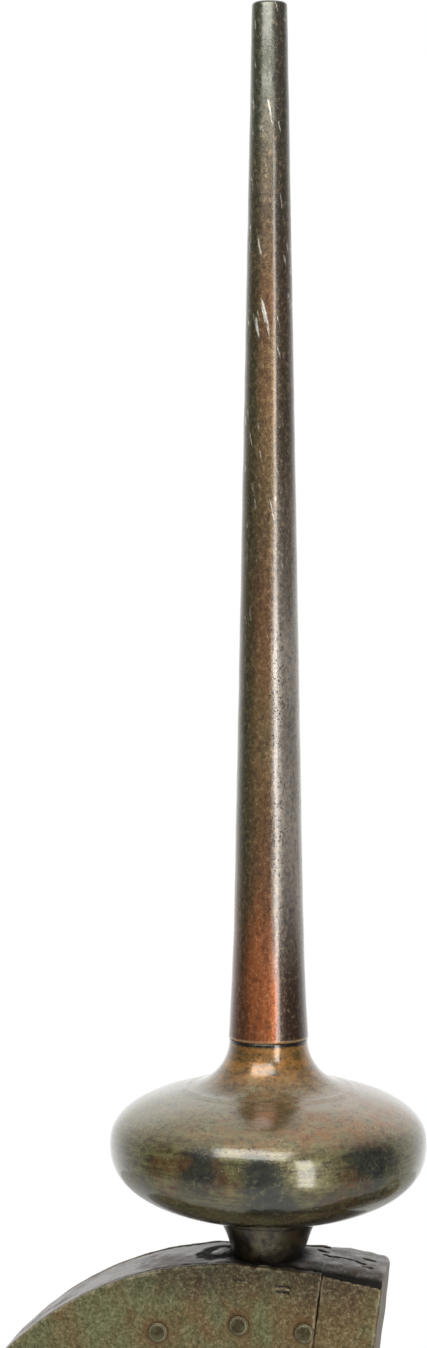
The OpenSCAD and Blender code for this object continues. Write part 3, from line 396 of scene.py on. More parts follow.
def weathered(name, node, grid, finish, closeUp, change):
    # an evenly meshed copy of a CAD node, so that its edges wear round and its faces can be beaten;
    # inside the closeUp box, if there is one, the mesh is twice as fine
    copy = bpy.data.objects.new(name + "Copy", nodes[node].data.copy())
    bpy.context.scene.collection.objects.link(copy)
    remesh = copy.modifiers.new("even", "REMESH")
    remesh.mode, remesh.voxel_size = "VOXEL", grid
    soften = copy.modifiers.new("soften", "SMOOTH")
    soften.factor, soften.iterations = 0.5, 2
    done = copy.evaluated_get(bpy.context.evaluated_depsgraph_get())
    mesh = bpy.data.meshes.new_from_object(done)
    bpy.data.objects.remove(copy)
    mesh.materials.clear()
    mesh.name = name
    if closeUp:
        fine = bmesh.new()
        fine.from_mesh(mesh)
        low, high = closeUp
        near = [e for e in fine.edges
                if all(low[i] < v.co[i] < high[i] for v in e.verts for i in range(3))]
        bmesh.ops.subdivide_edges(fine, edges=near, cuts=1, use_grid_fill=True)
        fine.to_mesh(mesh)
        fine.free()
    reshaped(mesh, change)
    return addPiece(name, mesh, finish, nodes[node]["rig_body"], [node])


spike = {
    # shape, in metres
    "tip": 0.0113, "root": 0.024, "foot": 0.026, "flare": 0.092, "round": 0.0022, "rings": 420,
    "edge": 0.0008, "sides": 128,
    "unevenness": (0.00022, 0.022, 3),
    # finish: degrees round to the left-to-right line of the flanks' painted shade and highlight, then the
    # flank's half width at foot and how it thins
    "turn": 8.9, "halfWidth": 0.0210, "thinning": 0.0115,
    # green is painted shade on the left flank, dark painted shade at the right edge, grey a painted highlight
    # on bare metal
    "brown": ("7E5E3A", "564A30"), "patch": "5C3820", "slate": ("6E6E60", "4C4E44"), "green": "363A26",
    "dark": "3E3830", "copper": ("A85A28", "6E3A1C"), "footShade": "3A2416", "grey": ("9C948A", "6E665E"),
    "grain": ("B49C74", "1E1810"), "pit": "120E0A", "scrape": "DAD8CE", "lip": "C8A070",
    "metal": 0.55, "coat": 0.9, "coatRoughness": 0.13, "relief": 0.00022,
}


def spikeBronze():
    # brown below and slate above, copper at the foot, painted shade on both flanks and a painted silver
    # highlight on pitted bare metal to the right
    finish = newFinish("spikeBronze")
    place = finish.place()
    height = finish.axis(place, "Z")
    across = finish.axis(finish.turned(place, (0, 0, -spike["turn"])), "X")
    raised = finish.between(height, spikeFoot, spikeTip)
    side = across / (spike["halfWidth"] - raised * spike["thinning"])
    cloud = finish.noise(finish.stretched(place, (1, 1, 0.4)), 16, 6, 0.6, 0.4)
    smudge = finish.noise(finish.stretched(place, (1, 1, 0.14)), 90, 7, 0.70)
    grain = finish.noise(finish.stretched(place, (1, 1, 0.7)), 420, 6, 0.8)
    mottle = finish.between(smudge, 0.30, 0.70)
    brown = finish.mottled(mottle, spike["brown"])
    brown = finish.laid(finish.between(cloud, 0.42, 0.62) * 0.6, brown, spike["patch"])
    slate = finish.mottled(mottle, spike["slate"])
    upper = finish.between(height + (cloud - 0.5) * 0.25, spikeFoot + 0.48, spikeTip - 0.02)
    colour = finish.blend(upper, brown, slate)
    # painted shade on the left flank, in green
    shadow = finish.between(side, -0.30, -0.80)
    colour = finish.laid(shadow * 0.75, colour, spike["green"])
    # painted shade along the right edge
    right = finish.between(side, 0.22, 0.36)
    colour = finish.laid(right * 0.8, colour, spike["dark"])
    foot = finish.between(height + (smudge - 0.5) * 0.10, spikeFoot + 0.15, spikeFoot + 0.02)
    copper = finish.mottled(mottle, spike["copper"])
    # the copper foot darker on both flanks: painted shade
    copper = finish.laid(finish.between(side, -0.40, -0.85) * 0.7, copper, spike["footShade"])
    copper = finish.laid(right, copper, spike["footShade"])
    colour = finish.blend(foot * 0.92, colour, copper)
    # a painted highlight laid as bare silver metal on the right, pitted
    silverSheen = finish.mottled(mottle, spike["grey"])
    bare = finish.between(height, spikeFoot + 0.40, spikeFoot + 0.22)
    bare = bare * finish.between(height + (cloud - 0.5) * 0.1, spikeFoot + 0.04, spikeFoot + 0.11)
    bare = bare * finish.between(side, 0.0, 0.2)
    colour = finish.blend(bare * 0.9, colour, silverSheen)
    light, dark = spike["grain"]
    colour = finish.laid(finish.between(grain, 0.52, 0.66) * 0.35, colour, light)
    colour = finish.laid(finish.between(grain, 0.50, 0.38) * 0.55, colour, dark)
    pits = finish.between(finish.cells(place, 400), 0.30, 0.12)
    pits = pits * (finish.between(finish.noise(place, 70, 3), 0.42, 0.56) * (0.3 + 0.7 * bare))
    colour = finish.laid(pits * 0.9, colour, spike["pit"])
    marks = finish.noise(finish.stretched(finish.turned(place, (0, 14, 0)), (1, 1, 0.08)), 380, 3, 0.6)
    marked = finish.between(finish.noise(place, 30, 4, 0.6) + raised * 0.08, 0.53, 0.62)
    scrape = finish.between(marks, 0.60, 0.68) * marked
    scrape = scrape * finish.between(height, spikeFoot + 0.15, spikeFoot + 0.45)
    colour = finish.laid(scrape * 0.8, colour, spike["scrape"])
    lip = finish.between(height, spikeFoot + 0.0028, spikeFoot + 0.0012)
    colour = finish.laid(lip * 0.5, colour, spike["lip"])
    rough = 0.25 + (grain - 0.5) * 0.5 + pits * 0.4
    relief = grain * 0.9 - pits + smudge * 0.4
    return finish.surface(baseColor=colour, metallic=spike["metal"], roughness=rough,
                          coatWeight=spike["coat"], coatRoughness=spike["coatRoughness"],
                          normal=finish.bump(relief, spike["relief"], 0.9))


def addSpike():
    length = spikeTip - spikeFoot
    edge = spike["edge"]
    outline = [(0, spikeFoot), (spike["foot"] - 0.0011, spikeFoot)]
    for i in range(spike["rings"] + 1):
        t = edge + (length - spike["round"] - edge) * i / spike["rings"]
        radius = spike["root"] + (spike["tip"] - spike["root"]) * t / length
        if t < spike["flare"]:
            radius += (spike["foot"] - spike["root"]) * (1 - t / spike["flare"]) ** 2
        outline.append((radius, spikeFoot + t))
    for i in range(1, 7):
        a = math.pi / 2 * i / 6
        outline.append((spike["tip"] - spike["round"] * (1 - math.cos(a)),
                        spikeTip - spike["round"] * (1 - math.sin(a))))
    dimple = spike["tip"] * 0.4
    outline += [(dimple, spikeTip - 0.0002), (dimple * 0.6, spikeTip - 0.0016), (0, spikeTip - 0.002)]
    mesh = spun("spikeShell", outline, spike["sides"])
    reshaped(mesh, lumps(*spike["unevenness"]))
    addPiece("spikeShell", mesh, spikeBronze(), instead=["spike"])


ball = {
    # shape, in metres; "middle" is above the rim, and the fulls say how square its shoulders are
    "radius": 0.103, "middle": 0.0735, "upper": 0.0401, "lower": 0.0481, "upperFull": 2.4,
    "lowerFull": 2.33, "neck": 0.0255, "sweep": 0.0318,
    "lowSteps": 74, "highSteps": 70, "neckSteps": 60, "sides": 256,
    "lowTurn": 74, "highTurn": 60, "neckTurn": 84,      # degrees of each arc
    "unevenness": (0.0004, 0.03, 8),
    # dark spots, orange stains, the painted dark reflection and the painted glint: place and reach of each,
    # in metres
    "darkSpots": [((-0.027, -0.099, 1.769), 0.026), ((0.012, -0.101, 1.764), 0.022),
                   ((0.076, -0.068, 1.770), 0.034), ((0.020, -0.096, 1.750), 0.026),
                   ((-0.031, -0.035, 1.803), 0.022)],
    "orangeStains": [((-0.012, -0.102, 1.761), 0.016), ((-0.049, -0.090, 1.763), 0.020),
                     ((0.055, -0.070, 1.752), 0.028)],
    "darkReflectionAt": ((0.009, -0.068, 1.7975), 0.027), "glintAt": ((0.008, -0.077, 1.794), 0.009),
    "olive": ("625C34", "40361C"), "bright": "72704C", "deep": "2A2616", "dark": ("242A22", "181E22"),
    "orange": "74481F", "under": "221C10", "gold": ("9C6A2E", "54401E"), "top": ("7E745A", "906844"),
    "topSheenLeft": "686C4E", "topSheenBright": "968662", "ring": "4E3E1C", "glint": "8E867A", "joint": "0A0704",
    "pit": "120E0A", "spark": "D8CFA8", "grain": ("8A8460", "14130D"),
    "metal": 0.42, "coat": 1.0, "coatRoughness": 0.12, "relief": 0.00020,
}


def ballBronze():
    # handled bronze: olive belt with dark spots and orange stains, a top painted light and warm as a
    # reflection, a painted dark reflection and glint, gold neck, and painted shade on the underside and in
    # the spike's joint
    finish = newFinish("ballBronze")
    place = finish.place()
    height = finish.axis(place, "Z") - (rimTop + ball["middle"])
    cloud = finish.noise(finish.stretched(place, (1, 1, 1.8)), 24, 7, 0.66, 0.5)
    smudge = finish.noise(finish.stretched(place, (1, 1, 2.2)), 70, 7, 0.74)
    polish = finish.noise(finish.stretched(place, (1, 1, 9)), 60, 5, 0.7)
    grain = finish.noise(place, 230, 7, 0.78)
    torn = finish.tornPlace(place, 55, 0.035)
    olive = finish.mottled(finish.between(smudge, 0.34, 0.66), ball["olive"])
    olive = finish.laid(finish.between(polish, 0.44, 0.60) * 0.6, olive, ball["bright"])
    olive = finish.laid(finish.between(polish, 0.46, 0.34) * 0.6, olive, ball["deep"])
    dark = finish.mottled(finish.between(smudge, 0.4, 0.6), ball["dark"])
    # darker patches: random ones and some at given spots
    darkPatches = finish.between(cloud, 0.50, 0.64) * 0.55
    for centre, radius in ball["darkSpots"]:
        darkPatches = darkPatches.maths("MAXIMUM", darkPatches, finish.spot(torn, centre, radius) * 0.9)
    colour = finish.blend(darkPatches, olive, dark)
    orange = finish.between(finish.noise(place, 40, 7, 0.75), 0.54, 0.70) * 0.3
    for centre, radius in ball["orangeStains"]:
        orange = orange.maths("MAXIMUM", orange, finish.spot(torn, centre, radius) * 0.42)
    colour = finish.laid(orange * finish.between(smudge, 0.34, 0.60), colour, ball["orange"])
    # painted shade on the underside
    under = finish.between(height, -0.008, -0.034)
    colour = finish.laid(under * 0.75, colour, ball["under"])
    neck = finish.between(height + (smudge - 0.5) * 0.05, 0.032, 0.048)
    gold = finish.mottled(finish.between(smudge, 0.38, 0.62), ball["gold"])
    colour = finish.blend(neck * 0.9, colour, gold)
    # a painted reflection: the top is laid lighter and warmer
    top = finish.between(height, 0.010, 0.026) * (1 - neck)
    warm = finish.between(finish.axis(place, "X") + (smudge - 0.5) * 0.1, -0.05, 0.03)
    topSheen = finish.mottled(finish.between(smudge, 0.36, 0.62), ball["top"])
    topSheen = finish.laid((1 - warm) * 0.6, topSheen, ball["topSheenLeft"])
    topSheen = finish.laid(finish.between(polish, 0.48, 0.62) * 0.35, topSheen, ball["topSheenBright"])
    colour = finish.blend(top * 0.85, colour, topSheen)
    # a painted dark reflection on the upper front
    colour = finish.laid(finish.spot(torn, *ball["darkReflectionAt"]) * 0.8, colour, ball["ring"])
    colour = finish.laid(finish.spot(place, *ball["glintAt"]) * 0.6, colour, ball["glint"])
    # painted shadow in the gap under the spike's foot
    joint = finish.between(finish.axis(place, "Z"), spikeFoot - 0.0030, spikeFoot - 0.0014)
    colour = finish.laid(joint, colour, ball["joint"])
    pits = finish.between(finish.cells(place, 330), 0.24, 0.10)
    pits = pits * finish.between(finish.noise(place, 60, 3), 0.5, 0.62)
    colour = finish.laid(pits * 0.9, colour, ball["pit"])
    spark = finish.between(finish.cells(finish.turned(place, (30, 20, 10)), 620), 0.22, 0.10)
    belt = finish.between(height, -0.004, 0.006) * finish.between(height, 0.034, 0.022)
    spark = spark * finish.between(finish.noise(place, 48, 3), 0.5, 0.6) * (0.12 + 0.88 * belt)
    colour = finish.laid(spark * 0.7, colour, ball["spark"])
    light, deep = ball["grain"]
    colour = finish.laid(finish.between(grain, 0.52, 0.66) * 0.25, colour, light)
    colour = finish.laid(finish.between(grain, 0.49, 0.38) * 0.5, colour, deep)
    rough = 0.24 + (grain - 0.5) * 0.5 + pits * 0.4
    relief = grain * 0.8 - pits + polish * 0.8
    return finish.surface(baseColor=colour, metallic=ball["metal"], roughness=rough,
                          coatWeight=ball["coat"], coatRoughness=ball["coatRoughness"],
                          normal=finish.bump(relief, ball["relief"], 0.8))


def addBall():
    middle = rimTop + ball["middle"]
    highPower, lowPower = 2 / ball["upperFull"], 2 / ball["lowerFull"]
    outline = [(0, seatTop + 0.0001)]
    for i in range(ball["lowSteps"]):
        a = math.radians(ball["lowTurn"] * (1 - i / ball["lowSteps"]))
        outline.append((ball["radius"] * math.cos(a) ** lowPower,
                        middle - ball["lower"] * math.sin(a) ** lowPower))
    for i in range(ball["highSteps"] + 1):
        a = math.radians(ball["highTurn"] * (i / ball["highSteps"]) ** 1.5)
        outline.append((ball["radius"] * math.cos(a) ** highPower,
                        middle + ball["upper"] * math.sin(a) ** highPower))
    for i in range(ball["neckSteps"] + 1):
        a = math.radians(-ball["neckTurn"] + ball["neckTurn"] * i / ball["neckSteps"])
        outline.append((ball["neck"] + ball["sweep"] * (1 - math.cos(a)),
                        spikeFoot + ball["sweep"] * math.sin(a)))
    outline += [(ball["neck"] - 0.0008, spikeFoot + 0.0001), (0, spikeFoot + 0.0001)]
    mesh = spun("ballShell", outline, ball["sides"])
    reshaped(mesh, lumps(*ball["unevenness"]))
    addPiece("ballShell", mesh, ballBronze(), instead=["ball"])


seat = {
    "foot": 0.0225, "top": 0.033, "lip": 0.0015, "bend": 1.35,
    "rings": 40, "sides": 128, "unevenness": (0.0005, 0.012, 5),
    "bronze": ("1C1610", "3E3422"), "worn": "6A6446", "rubAndHighlightAt": (0.004, -0.028, 1.706), "rubAndHighlightReach": 0.018,
    "cornerShadeAndDust": "0A0806",
}


def seatBronze():
    # nearly black casting, a little rubbed at the front, where the lighter spot is also a painted highlight,
    # with painted shade in its corners
    finish = newFinish("seatBronze")
    place = finish.place()
    smudge = finish.noise(place, 90, 7, 0.72)
    colour = finish.mottled(finish.between(smudge, 0.42, 0.58), seat["bronze"])
    # a lighter spot at the front: rubbing and a painted highlight
    worn = finish.spot(finish.tornPlace(place, 90, 0.02), seat["rubAndHighlightAt"], seat["rubAndHighlightReach"])
    colour = finish.laid(worn * finish.between(smudge, 0.40, 0.65) * 0.5, colour, seat["worn"])
    # painted shade in the corner where the seat meets the rim
    colour = finish.laid(finish.cornerShadeAndDust(0.02) * 0.8, colour, seat["cornerShadeAndDust"])
    return finish.surface(baseColor=colour, metallic=0.5, roughness=0.36, coatWeight=0.5,
                          coatRoughness=0.2, normal=finish.bump(smudge, 0.0006, 0.8))


def addSeat():
    rise = seatTop - rimTop
    outline = [(0, rimTop - 0.0035)]
    for i in range(seat["rings"] + 1):
        t = i / seat["rings"]
        radius = seat["foot"] + (seat["top"] - seat["lip"] - seat["foot"]) * t ** seat["bend"]
        outline.append((radius, rimTop - 0.003 + (rise - 0.001) * t))
    outline += [(seat["top"], seatTop - 0.003), (seat["top"], seatTop - 0.0008),
                (seat["top"] - 0.0008, seatTop), (0, seatTop)]
    mesh = spun("seatShell", outline, seat["sides"])
    reshaped(mesh, lumps(*seat["unevenness"]))
    addPiece("seatShell", mesh, seatBronze(), instead=["ball_seat"])


casing = {
    # each plate: node, mesh size, and the corners of the box that gets twice the mesh
    "plates": {
        "frontCheek": ("front_cheek", 0.0013, ((-0.08, -1, 1.672), (0.09, 1, 1.70))),
        "backCheek": ("back_cheek", 0.0018, None),
        "rimBand": ("rim_band", 0.0013, ((-0.05, -1, 1.675), (0.05, 1, 1.70))),
        "endBar": ("end_bar", 0.0013, ((0.015, -1, 1.665), (0.10, 1, 1.70))),
    },
    "flatRadius": 0.404,                # of the top right's arc
    "riseFrom": 0.011, "riseSlope": 0.063, "bevelDepth": 0.024,
    "bedding": 0.0018, "beddingWide": 0.0035,
    "roughness": 0.0003, "beaten": 0.0006, "beatenFrom": -0.05, "waves": 0.0003,
    "facing": 0.6,                      # how far up or forward a face looks to count as top or front
    "cornerFrom": 0.078, "cornerBack": 0.018, "cornerPull": 0.004,
    # chisel cuts in the top right: start and end, as x and y
    "cuts": [((0.031, 0.018), (0.038, 0.014)), ((0.036, 0.007), (0.045, 0.003)),
             ((0.044, 0.0055), (0.054, 0.004)), ((0.057, 0.003), (0.0635, -0.0005)),
             ((0.0615, 0.0115), (0.0685, 0.0105)), ((0.0625, -0.0065), (0.0687, -0.0068))],
    # nicks in the front face: start and end, as x and height
    "nicks": [((-0.0175, 1.6820), (-0.0085, 1.6815)), ((0.0100, 1.6799), (0.0187, 1.6788)),
              ((0.0105, 1.6760), (0.0180, 1.6755))],
    "cutDepth": 0.0016, "cutWidth": 0.0011,
    # rough pad left of the seat: its painted place, and the mound's middle, half width, half depth, height
    "pad": (-0.0307, 0.0000, 1.6916),
    "padX": -0.027, "padWide": 0.009, "padDeep": 0.022, "padHigh": 0.0011,
    # the rivets that rust has bled round, as x and height
    "rivets": [(-0.1155, 1.6229), (-0.0671, 1.6459), (-0.0141, 1.6530), (0.0284, 1.6500)],
    "redPatches": [((-0.038, -0.032, 1.682), 0.022), ((0.045, -0.032, 1.68), 0.032)],
    "olive": ("5E5E3E", "62502F"), "amber": "6E5230", "red": "4A2E1E", "pale": "A09C7C", "dark": "1E1A10",
    "halo": "5E3E20", "haloReach": 0.0135, "nick": "0E0B07", "wear": "D2C09C",
    "metal": 0.35, "relief": 0.0003,
}

headRound = rimTop - spindle.z                  # radius of the casing's left side and top
headFlat = casing["flatRadius"]
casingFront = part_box("end_bar")[0].y
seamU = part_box("rim_band")[1].x - spindle.x     # the seam before the end bar, from the spindle


def groove(point, start, end, width, depth):
    # depth of a chisel cut under this point: full along the middle, fading at its ends and sides
    along = end - start
    share = (point - start).dot(along) / along.length_squared
    if not -0.2 < share < 1.2:
        return 0.0
    aside = (point - start - along * share).length / width
    if aside > 2.5:
        return 0.0
    ends = min(1.0, (share + 0.2) * 4, (1.2 - share) * 4)
    return depth * ends * math.exp(-aside * aside)


def casingChange(place, facing):
    # the beaten casing: its top right rises towards the back, and tools have left their marks
    move = Vector((0, 0, 0))
    u, v = place.x - spindle.x, place.z - spindle.z
    outer = math.hypot(u, v) if u < 0 else math.hypot(u, v + headFlat - headRound) - headFlat + headRound
    nearTop = min(1.0, max(0.0, (outer - headRound + 0.022) / 0.020))
    if nearTop > 0 and u > casing["riseFrom"]:
        back = min(1.0, max(0.0, (place.y - casingFront) / casing["bevelDepth"]))
        move.z += casing["riseSlope"] * (u - casing["riseFrom"]) * back * back * (3 - 2 * back) * nearTop
    onTop = facing.z > casing["facing"]
    beaten = min(1.0, max(0.0, (u - casing["beatenFrom"]) / 0.03)) * (1.0 if onTop else 0.2)
    rough = casing["roughness"] + casing["beaten"] * beaten
    move += facing * (noise.noise(place / 0.011) * rough + noise.noise(place / 0.03) * casing["waves"])
    width, depth = casing["cutWidth"], casing["cutDepth"]
    if onTop:
        flat = Vector((place.x, place.y))
        for start, end in casing["cuts"]:
            move.z -= groove(flat, Vector(start), Vector(end), width, depth)
        pad = ((place.x - casing["padX"]) / casing["padWide"]) ** 2 + (place.y / casing["padDeep"]) ** 2
        move.z += casing["padHigh"] * math.exp(-pad * pad) * (1 + 0.5 * noise.noise(place / 0.003))
    elif facing.y < -casing["facing"]:
        flat = Vector((place.x, place.z))
        for start, end in casing["nicks"]:
            move.y += groove(flat, Vector(start), Vector(end), width, depth * 0.8)
    if nearTop > 0 and place.y > casingFront + 0.003 and 0 < u - seamU < casing["beddingWide"]:
        move.x -= casing["bedding"] * nearTop     # the end bar's top beds against the rim
    right = place.x - (spindle.x + casing["cornerFrom"])
    if right > 0 and place.y > casing["cornerBack"]:
        pull = ((place.y - casing["cornerBack"]) / 0.014) ** 2
        move.x -= casing["cornerPull"] * pull * min(1.0, right / 0.012)
    return move


def casingBronze():
    # weathered olive bronze, darker to its outer edge, with rust round the rivets, worn edges and painted
    # shade in its corners and seams
    finish = newFinish("casingBronze")
    place = finish.place()
    cloud = finish.noise(finish.stretched(place, (1, 1, 0.6)), 20, 6, 0.66, 0.5)
    streak = finish.noise(finish.stretched(place, (1, 1, 0.3)), 34, 6, 0.66, 0.4)
    smudge = finish.noise(finish.stretched(place, (1, 1, 0.6)), 60, 7, 0.74)
    grain = finish.noise(place, 480, 6, 0.8)
    across = finish.axis(place, "X") - spindle.x
    drift = cloud * 1.6 - 0.3 + (smudge - 0.5) * 0.9 + across * 1.6
    colour = finish.mottled(finish.between(drift, 0.34, 0.72), casing["olive"])
    colour = finish.laid(finish.between(streak, 0.48, 0.66) * 0.45, colour, casing["amber"])
    left, right = casing["redPatches"]
    red = finish.spot(place, *left) + finish.spot(place, *right)
    red = red * finish.between(smudge, 0.36, 0.60) * 0.5 + finish.between(smudge, 0.50, 0.75) * 0.35
    colour = finish.laid(red, colour, casing["red"])
    outer = finish.between(finish.axis(place, "Z") + (cloud - 0.5) * 0.03, 1.660, 1.694)
    colour = finish.laid(outer * 0.62, colour, casing["dark"])
    colour = finish.laid(finish.between(grain, 0.50, 0.66) * 0.42, colour, casing["pale"])
    colour = finish.laid(finish.between(grain, 0.51, 0.36) * 0.70, colour, casing["dark"])
    # painted shade in corners, seams and round the rivet heads
    colour = finish.laid(finish.cornerShadeAndDust(0.007) * 0.95, colour, casing["dark"])
    for x, z in casing["rivets"]:
        halo = finish.spot(place, (x, casingFront, z), casing["haloReach"])
        colour = finish.laid(halo * finish.between(smudge, 0.30, 0.58) * 0.75, colour, casing["halo"])
    rubbed = finish.between(finish.noise(place, 150, 5, 0.7), 0.46, 0.56)
    worn = finish.between(finish.edges(0.0032), 0.04, 0.30) * rubbed
    colour = finish.laid(worn * 0.8, colour, casing["wear"])
    nick = None
    for start, end in casing["nicks"]:
        mark = finish.stroke(finish.tornPlace(place, 300, 0.003), start, end, casing["cutWidth"])
        nick = mark if nick is None else nick.maths("MAXIMUM", nick, mark)
    nick = nick * finish.between(finish.noise(place, 420, 3), 0.28, 0.42)
    colour = finish.laid(nick * 0.85, colour, casing["nick"])
    relief = grain * 0.8 + smudge * 0.6 - nick * 3.0
    return finish.surface(baseColor=colour, metallic=casing["metal"], roughness=0.46 + (grain - 0.5) * 0.3,
                          normal=finish.bump(relief, casing["relief"], 0.8))


rim = {
    "brown": ("554A3E", "3A2E24"), "beatenLight": "8C857C", "beatenDark": "1C1612", "rust": "3E2818",
    "pad": "B4AEA4", "padShade": "0A0806", "padReach": 0.021, "padFlat": 0.015, "grain": "968C80",
    "shade": "100C08", "foot": "080605", "metal": 0.4, "coat": 0.4, "relief": 0.0008,
}


def rimBronze():
    # brown and rusty on the left, beaten bright to the right, with painted shade along the front edge, round
    # the seat's foot and round the pad
    finish = newFinish("rimBronze")
    place = finish.place()
    smudge = finish.noise(place, 80, 7, 0.74)
    grain = finish.noise(place, 330, 6, 0.8)
    across = finish.axis(place, "X")
    beaten = finish.between(across, -0.06, -0.02)
    colour = finish.mottled(finish.between(smudge, 0.42, 0.58), rim["brown"])
    colour = finish.laid(beaten * finish.between(smudge, 0.5, 0.6) * 0.6, colour, rim["beatenLight"])
    colour = finish.laid(beaten * finish.between(smudge, 0.48, 0.40) * 0.7, colour, rim["beatenDark"])
    rust = finish.between(finish.noise(place, 26, 7, 0.75), 0.46, 0.66)
    colour = finish.laid(rust * 0.8, colour, rim["rust"])
    torn = finish.tornPlace(place, 120, 0.012)
    pad = finish.spot(torn, casing["pad"], rim["padReach"])
    # a ring of painted shade round the pad's mound
    padShade = pad * (1 - finish.spot(torn, casing["pad"], rim["padFlat"]))
    colour = finish.laid(pad * 0.85, colour, rim["pad"])
    colour = finish.laid(padShade * 4.0, colour, rim["padShade"])
    colour = finish.laid(finish.between(grain, 0.5, 0.64) * 0.45, colour, rim["grain"])
    depth = finish.axis(place, "Y") - casingFront + (smudge - 0.5) * 0.01
    shade = finish.between(depth, 0.015, 0.006) * finish.between(across, -0.035, 0.0)
    colour = finish.laid(shade * 0.95, colour, rim["shade"])
    # painted shadow round the seat's foot
    foot = finish.between(finish.cornerShadeAndDust(0.02), 0.12, 0.6)
    colour = finish.laid(foot, colour, rim["foot"])
    worn = finish.edges(0.0016) * finish.between(finish.noise(place, 150, 5, 0.7), 0.50, 0.60)
    colour = finish.laid(worn * 0.6, colour, casing["wear"])
    relief = grain * 0.5 + smudge * (0.3 + beaten * 1.4)
    dull = rust.maths("MAXIMUM", rust * 0.5, padShade * 3)
    dull = dull.maths("MAXIMUM", dull, shade.maths("MAXIMUM", shade, foot), clamp=True)
    rough = 0.30 + (grain - 0.5) * 0.25 + dull * 0.55
    return finish.surface(baseColor=colour, metallic=rim["metal"], roughness=rough,
                          coatWeight=rim["coat"] * (1 - dull), coatRoughness=0.25,
                          normal=finish.bump(relief + pad * 1.2, rim["relief"], 0.9))


rivet = {"olive": ("5C5A3E", "453C28"), "worn": "DCD0AC", "cornerShadeAndDust": "0E0B07", "roundness": 0.0022}


def rivetBronze():
    finish = newFinish("rivetBronze")
    place = finish.place()
    smudge = finish.noise(place, 140, 6, 0.72)
    colour = finish.mottled(finish.between(smudge, 0.42, 0.58), rivet["olive"])
    # pale edges round the head: wear and a painted highlight
    colour = finish.laid(finish.edges(rivet["roundness"]) * 0.8, colour, rivet["worn"])
    # painted shade round the foot of the head
    colour = finish.laid(finish.cornerShadeAndDust(0.004) * 0.9, colour, rivet["cornerShadeAndDust"])
    return finish.surface(baseColor=colour, metallic=0.6, roughness=0.28,
                          normal=finish.bump(smudge, 0.0006, 0.7, finish.softened(rivet["roundness"])))


def addCasing():
    sheet, band = casingBronze(), rimBronze()
    for name, (node, grid, closeUp) in casing["plates"].items():
        finish = band if name == "rimBand" else sheet
        plate = weathered(name, node, grid, finish, closeUp, casingChange)
        if name == "endBar":
            # its top is finished as the rim that it continues
            plate.data.materials.append(band)
            for face in plate.data.polygons:
                if face.normal.z > 0.55 and face.center.z > 1.66:
                    face.material_index = 1


addSpike()
addBall()
addSeat()
addCasing()
print("finial and casing done")


iron = {
    "green": ("2E3826", "222A1E"), "faded": "4A5038", "rust": ("5E3218", "2E1C12"), "bare": "77726A",
    "cornerShadeAndDust": "15120D", "relief": 0.0008, "roundness": 0.0018,
}


def ironPaint():
    # thick green paint on rough castings, chipped to primer and rust
    finish = newFinish("ironPaint")
    place = finish.place()
    cloud = finish.noise(place, 9, 6, 0.65, 0.4)
    smudge = finish.noise(place, 45, 7, 0.72)
    grain = finish.noise(place, 210, 5, 0.7)
    colour = finish.mottled(finish.between(cloud, 0.42, 0.6), iron["green"])
    colour = finish.laid(finish.between(smudge, 0.5, 0.62) * 0.4, colour, iron["faded"])
    worn = finish.edges(0.0030) * finish.between(smudge, 0.40, 0.52)
    chips = worn.maths("MAXIMUM", worn, finish.between(smudge * 0.6 + cloud * 0.4, 0.585, 0.60))
    rust = finish.mottled(finish.between(grain, 0.42, 0.58), iron["rust"])
    colour = finish.blend(chips * 0.9, colour, rust)
    colour = finish.laid(worn * finish.between(grain, 0.5, 0.6) * 0.6, colour, iron["bare"])
    # painted shade in corners and joints
    colour = finish.laid(finish.cornerShadeAndDust(0.03) * 0.75, colour, iron["cornerShadeAndDust"])
    relief = grain * 0.5 + smudge * 0.6 - chips * 0.5
    return finish.surface(baseColor=colour, metallic=0.0, roughness=0.42 + chips * 0.3,
                          normal=finish.bump(relief, iron["relief"], 0.8, finish.softened(iron["roundness"])))


forging = {
    "black": ("24221E", "33291F"), "brown": "544A3C", "rust": "5A341C", "worn": "8A857C", "cornerShadeAndDust": "0C0A08",
    "metal": 0.55, "relief": 0.0005, "roundness": 0.0009,
}


def blackIron():
    # oiled forgings, brown where hands and rain reach them
    finish = newFinish("blackIron")
    place = finish.place()
    smudge = finish.noise(place, 50, 7, 0.72)
    grain = finish.noise(place, 260, 5, 0.72)
    colour = finish.mottled(finish.between(smudge, 0.42, 0.58), forging["black"])
    colour = finish.laid(finish.between(grain, 0.52, 0.62) * 0.5, colour, forging["brown"])
    rust = finish.between(finish.noise(place, 26, 6, 0.7), 0.55, 0.64)
    colour = finish.laid(rust * 0.75, colour, forging["rust"])
    worn = finish.edges(0.0016) * finish.between(smudge, 0.38, 0.52)
    colour = finish.laid(worn * 0.7, colour, forging["worn"])
    # painted shade in corners and joints
    colour = finish.laid(finish.cornerShadeAndDust(0.012) * 0.8, colour, forging["cornerShadeAndDust"])
    relief = grain + smudge * 0.6
    return finish.surface(baseColor=colour, metallic=forging["metal"], roughness=0.38 + rust * 0.35,
                          normal=finish.bump(relief, forging["relief"], 0.8,
                                             finish.softened(forging["roundness"])))


steel = {
    "grey": ("7A756C", "4C443A"), "rust": "5E3A22", "edge": "B4B0A6", "cornerShadeAndDust": "0E0B08",
    "metal": 0.85, "relief": 0.0003, "roundness": 0.0006,
}


